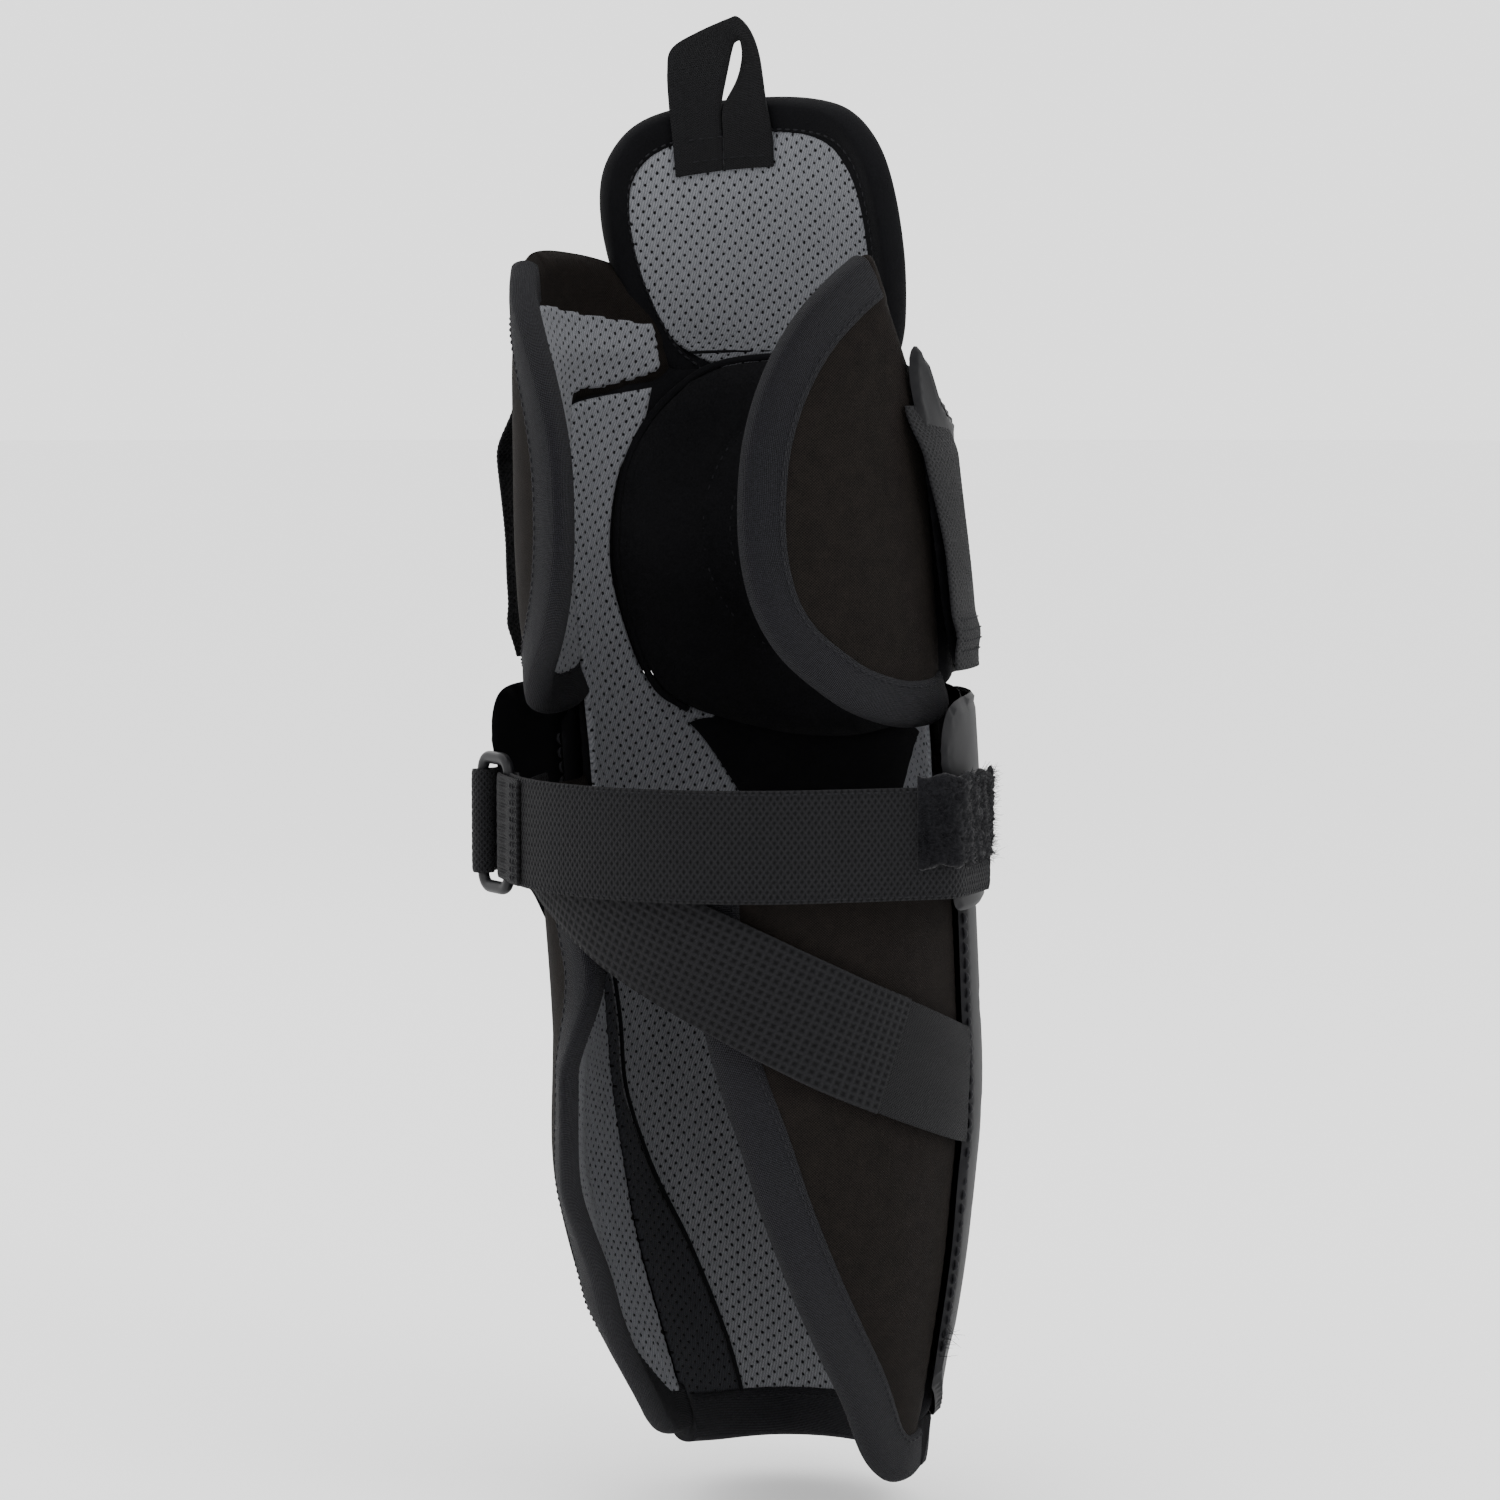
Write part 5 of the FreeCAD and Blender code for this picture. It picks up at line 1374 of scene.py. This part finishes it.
def make_patch(line, out):
    """The fuzzy patch over the strap's end: a looped pile, ragged at its edges, with stray fibres."""
    run = lengths(line)
    part = run > run[-1] - PATCH_LENGTH
    spine, away = line[part] + out[part] * 1.0 + (0, 0, PATCH_RISE), out[part]
    count = len(spine)
    points, uv = [], []
    along = run[part] - run[part][0]
    ends = np.minimum(1, np.minimum(along, along[-1] - along) / 1.4)
    for face, wide in section(np.linspace(-PATCH_HALF, PATCH_HALF, 56)):
        tuft = np.full(count, -0.1)
        if face == 1:
            edge = min(1.0, (PATCH_HALF - abs(wide)) / 1.4)
            clump = 0.35 * np.sin(along / 2.1 + wide / 1.7) * np.sin(along / 3.3 - wide / 2.6)
            tuft = (1.5 + clump + rng.normal(0, 0.28, count)) * np.sqrt(np.clip(edge * ends, 0.02, 1))
        ragged = rng.normal(0, 0.2, count) + 0.8 * abs(wide / PATCH_HALF) ** 6 * np.sin(along / 1.9 + wide)
        points.append(spine + upright(spine) * (wide + ragged)[:, None] + away * tuft[:, None])
        uv.append(weave_at(along, wide))
    patch = folded_strip("fuzzy_patch", points, uv, pile)
    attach(patch, "upper_strap_body")
    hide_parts("strap_fuzzy_patch")
    fibres("fuzzy_fibres", spine + away * 0.5, away, upright(spine), PATCH_HALF + 0.6, 2600, 2.8,
           "upper_strap_body")


def fibres(name, spine, out, up, half, number, length, body, thick=0.07):
    """Stray fibres: thin three-sided threads that stand off a strip at random."""
    points, faces = [], []
    for _ in range(number):
        k = rng.integers(0, len(spine))
        base = spine[k] + up[k] * rng.uniform(-half, half) + out[k] * 0.6
        ahead = np.cross(out[k], up[k])
        lean = out[k] * rng.uniform(0.3, 1.0) + ahead * rng.normal(0, 0.6) + up[k] * rng.normal(0, 0.6)
        lean /= np.linalg.norm(lean)
        bend = rng.normal(0, 0.5, 3)
        reach = length * rng.uniform(0.4, 1.2)
        line = np.array([base, base + lean * reach * 0.5 + bend * 0.15 * reach,
                         base + lean * reach + bend * 0.5 * reach])
        tube_points, tube_faces = tube(line, np.array([thick, thick * 0.8, thick * 0.35]), 3)
        faces += [tuple(i + len(points) for i in f) for f in tube_faces]
        points += tube_points.tolist()
    made = piece(name, points, faces, thread)
    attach(made, body)


def make_folds():
    """The strap's near end round the ring's back bar, and the ear's webbing round its front bar."""
    outward = np.array([math.cos(math.radians(35)), math.sin(math.radians(35))])
    onward = np.array([outward[1], -outward[0]])
    turn = np.radians(np.linspace(-8, 188, 20))
    loop = RING_BACK + 3.4 * (np.cos(turn)[:, None] * outward + np.sin(turn)[:, None] * onward)
    fold = folded_web("strap_fold_wrap", [arc_xy(87.6, 49, 38.5, 12), loop, arc_xy(83.4, 38.5, 56, 16)])
    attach(fold, "upper_strap_body")
    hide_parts("strap_fold")
    for number, angle in enumerate((46.5, 44.5)):
        stitch = at_level(arc_xy(88.5, angle, angle, 40), STRAP_LEVEL + np.linspace(-17, 17, 40))
        row = sewn_row(f"fold_stitches_{number}", stitch, np.tile((*outward, 0.0), (40, 1)), thread,
                       1.9, 1.0, 0.26)
        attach(row, "upper_strap_body")
    arc = (np.linspace(-14, 5, 16) - EAR_TANGENT) * np.radians(EAR_RADIUS)
    face = ear_place(LEFT)(weave_at(arc, STRAP_LEVEL), 3.5)[:, :2]
    direction = face[-1] - face[-2]
    direction /= np.linalg.norm(direction)
    side = np.array([direction[1], -direction[0]])
    side *= np.sign(side @ (1.0, 0.0))
    turn = np.radians(np.linspace(10, 215, 20))
    loop = RING_FRONT + 3.4 * (np.cos(turn)[:, None] * side + np.sin(turn)[:, None] * direction)
    face = face[(face @ direction) < (RING_FRONT @ direction) - 4]
    anchor = folded_web("ring_anchor_web", [face, loop])
    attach(anchor, "shin_body")
    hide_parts("ring_anchor")


def line_normals(line):
    """Level normals of a line, always on its right as it runs, so that they turn with it."""
    ahead = np.gradient(line, axis=0)
    out = np.stack([ahead[:, 1], -ahead[:, 0], np.zeros(len(line))], -1)
    return out / np.linalg.norm(out, axis=1)[:, None]


def folded_web(name, lines):
    """Webbing through the lines' points in plan, at the strap's level."""
    line = at_level(curve(np.vstack(lines), 0.8), STRAP_LEVEL)
    return flat_strip(name, line, line_normals(line), upright(line), STRAP_HALF - 0.6, 1.3, webbing,
                      fine_hatch, 0.9)


def wall_strip(name, flat_line, half_width, offset, thickness, relief, material):
    """A strap that lies on the wall along a flat line."""
    place = wall_place()
    count = len(flat_line)
    ahead = np.gradient(flat_line, axis=0)
    ahead /= np.linalg.norm(ahead, axis=1)[:, None]
    across = np.stack([-ahead[:, 1], ahead[:, 0]], -1)
    run = lengths(flat_line)
    half_width = np.broadcast_to(half_width, count)
    offset = np.broadcast_to(offset, count)
    points, uv = [], []
    for face, share in section(np.linspace(-1, 1, int(2 * half_width.max() / 0.9) + 1)):
        wide = share * half_width
        lift = thickness / 2 * rolled(share) + relief(run, wide)
        points.append(place(flat_line + across * wide[:, None], offset + face * lift))
        uv.append(weave_at(run, wide))
    return folded_strip(name, points, uv, material)


def make_lower_strap():
    line = side_line([(36, -96), (44, -97.5), (60, -105), (80, -119), (104, -135), (125, -150), (140, -160.5),
                      (161, -173), (176, -180.5), (183, -183)], 0.9)
    angle = angle_of(line)
    offset = 3.3 + 0.8 * np.sin(np.radians(np.clip(angle - 60, 0, 120) * 1.5)) ** 2
    width = 19.5 + 2.2 * smooth_step(angle, 60, 175)
    main = angle < 151
    tab = angle > 149
    band_piece = wall_strip("lower_strap_band", line[main], width[main], offset[main], 1.8, cells,
                            square_elastic)
    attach(band_piece, "lower_strap_body")
    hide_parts("lower_strap")
    tab_piece = wall_strip("lower_strap_end", line[tab], width[tab] - 0.5, offset[tab] - 0.2, 1.5,
                           lambda run, wide: hatch(run, wide, 1.2) * 0.5, tape)
    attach(tab_piece, "lower_strap_body")
    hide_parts("lower_strap_tab")
    root_line = side_line([(4, -94.5), (12, -94.8), (24, -95)], 0.9)
    root = wall_strip("lower_strap_base", root_line, 17.0, 2.4, 1.6, fine_hatch, webbing)
    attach(root, "shin_body")
    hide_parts("lower_strap_root")


make_shin_shell()
make_knee_cap()
make_ears()
make_rivets()
make_keepers()
make_ring()
make_upper_strap()
make_lower_strap()


# Pull loop: one length of tape, sewn inside the flap's top, folded over itself.

LOOP_CENTRE, LOOP_SLANT, LOOP_WIDTH = 12.0, 0.18, 1.17
LOOP_OUTER = [(19.6, 146), (20.4, 160), (21.4, 172), (21.6, 184), (19.6, 192), (9, 197), (-4, 201),
              (-8.5, 201.6), (-13.4, 197), (-16.6, 188), (-18.2, 175), (-19.6, 160), (-19.8, 146)]
LOOP_INNER = [(0.8, 146), (0.9, 160), (0.8, 169), (-1.6, 179), (-5.0, 190), (-6.6, 192), (-8.0, 192.5),
              (-9.4, 192), (-10.4, 190), (-6.4, 179), (-0.2, 169), (0.3, 160), (0.4, 146)]


def make_pull_loop():
    count = 180
    outer_line = evenly(curve(LOOP_OUTER, 0.5), count)
    inner_line = evenly(curve(LOOP_INNER, 0.5), count)
    share = np.linspace(0, 1, count)
    bulge = 3.2 * hump(share, 0.5, 0.12)
    bulge += 2.2 * smooth_step(share, 0.5, 0.62) * (1 - smooth_step(share, 0.8, 0.95))
    points, uv = [], []
    run = lengths((outer_line + inner_line) / 2)
    for face, k in section(np.linspace(0, 1, 20)):
        line = inner_line + (outer_line - inner_line) * k
        line = line * (LOOP_WIDTH, 1) + (LOOP_CENTRE, 0)
        line[:, 0] -= LOOP_SLANT * (line[:, 1] - 150)
        thick = 0.75 * (1 - abs(2 * k - 1) ** 12 * 0.5)
        ribs = 0.10 * np.cos(2 * np.pi * k * 8)
        creases = 0.2 * (hump(share, 0.42 + 0.08 * k, 0.012) + hump(share, 0.6 - 0.06 * k, 0.012))
        points.append(flap_place(line, -9.6 - bulge * (0.4 + 0.6 * k) - face * (thick + ribs - creases)))
        uv.append(weave_at(run, k * 19))
    loop = folded_strip("pull_loop_tape", points, uv, tape)
    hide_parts("pull_loop", "loop_tails")
    for number, height in enumerate((158.5, 150.5)):
        flat = weave_at(np.linspace(-19, 19, 60) + LOOP_CENTRE, height)
        row = sewn_row(f"loop_stitches_{number}", flap_place(flat, -10.5),
                       -normals_of(flap_place, flat, -10.5), thread, 2.2, 1.2, 0.28)
        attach(row, "thigh_guard")
    start, end = flap_place(np.array([[LOOP_CENTRE, 163.0], [LOOP_CENTRE, 171.0]]), -8.0) * MM
    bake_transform(loop)


make_pull_loop()


# Floor, lights and camera.

def make_stage():
    floor_material = Nodes("floor", (0.93, 0.93, 0.93), 0.9, specular=0.1)
    bpy.ops.mesh.primitive_circle_add(vertices=64, radius=30, fill_type="NGON", location=(0, 0, -0.345))
    floor = bpy.context.object
    floor.name = "floor"
    floor.data.materials.append(floor_material.material)
    world = bpy.data.worlds.new("studio")
    bpy.context.scene.world = world
    world.use_nodes = True
    world.node_tree.nodes["Background"].inputs["Color"].default_value = (1, 1, 1, 1)
    world.node_tree.nodes["Background"].inputs["Strength"].default_value = 2.0


def add_light(name, place, target, size, power):
    light = bpy.data.lights.new(name, "AREA")
    light.shape = "DISK"
    light.size = size
    light.energy = power
    thing = bpy.data.objects.new(name, light)
    bpy.context.scene.collection.objects.link(thing)
    thing.location = place
    thing.rotation_euler = (Vector(target) - Vector(place)).to_track_quat("-Z", "Y").to_euler()


CAMERA_TARGET = (-0.0028, -0.0014, -0.0665)


def make_camera():
    """The camera stands behind the leg, and the lights stand round it."""
    azimuth, elevation, distance = math.radians(206), math.radians(5), 1.46
    back = Vector((math.sin(azimuth) * math.cos(elevation), -math.cos(azimuth) * math.cos(elevation),
                   math.sin(elevation)))
    camera = bpy.data.objects.new("camera", bpy.data.cameras.new("camera"))
    bpy.context.scene.collection.objects.link(camera)
    camera.data.lens = 100
    camera.data.sensor_width = 36
    camera.location = Vector(CAMERA_TARGET) + back * distance
    camera.rotation_mode = "QUATERNION"
    camera.rotation_quaternion = (-back).to_track_quat("-Z", "Y")
    bpy.context.scene.camera = camera
    right = Vector((back.y, -back.x, 0)).normalized()
    add_light("key", tuple(back * 1.4 - right * 1.3 + Vector((0, 0, 1.3))), (0, 0, -0.05), 0.9, 15)
    add_light("fill", tuple(back * 1.2 + right * 1.5 + Vector((0, 0, 0.5))), (0, 0, -0.08), 1.0, 5)
    add_light("top", (0.1, 0.2, 1.7), (0, 0, -0.05), 0.9, 6)
    add_light("front", tuple(-back * 1.6 + right * 0.8 + Vector((0, 0, 0.8))), (0, 0, -0.08), 1.0, 3)


make_stage()
make_camera()
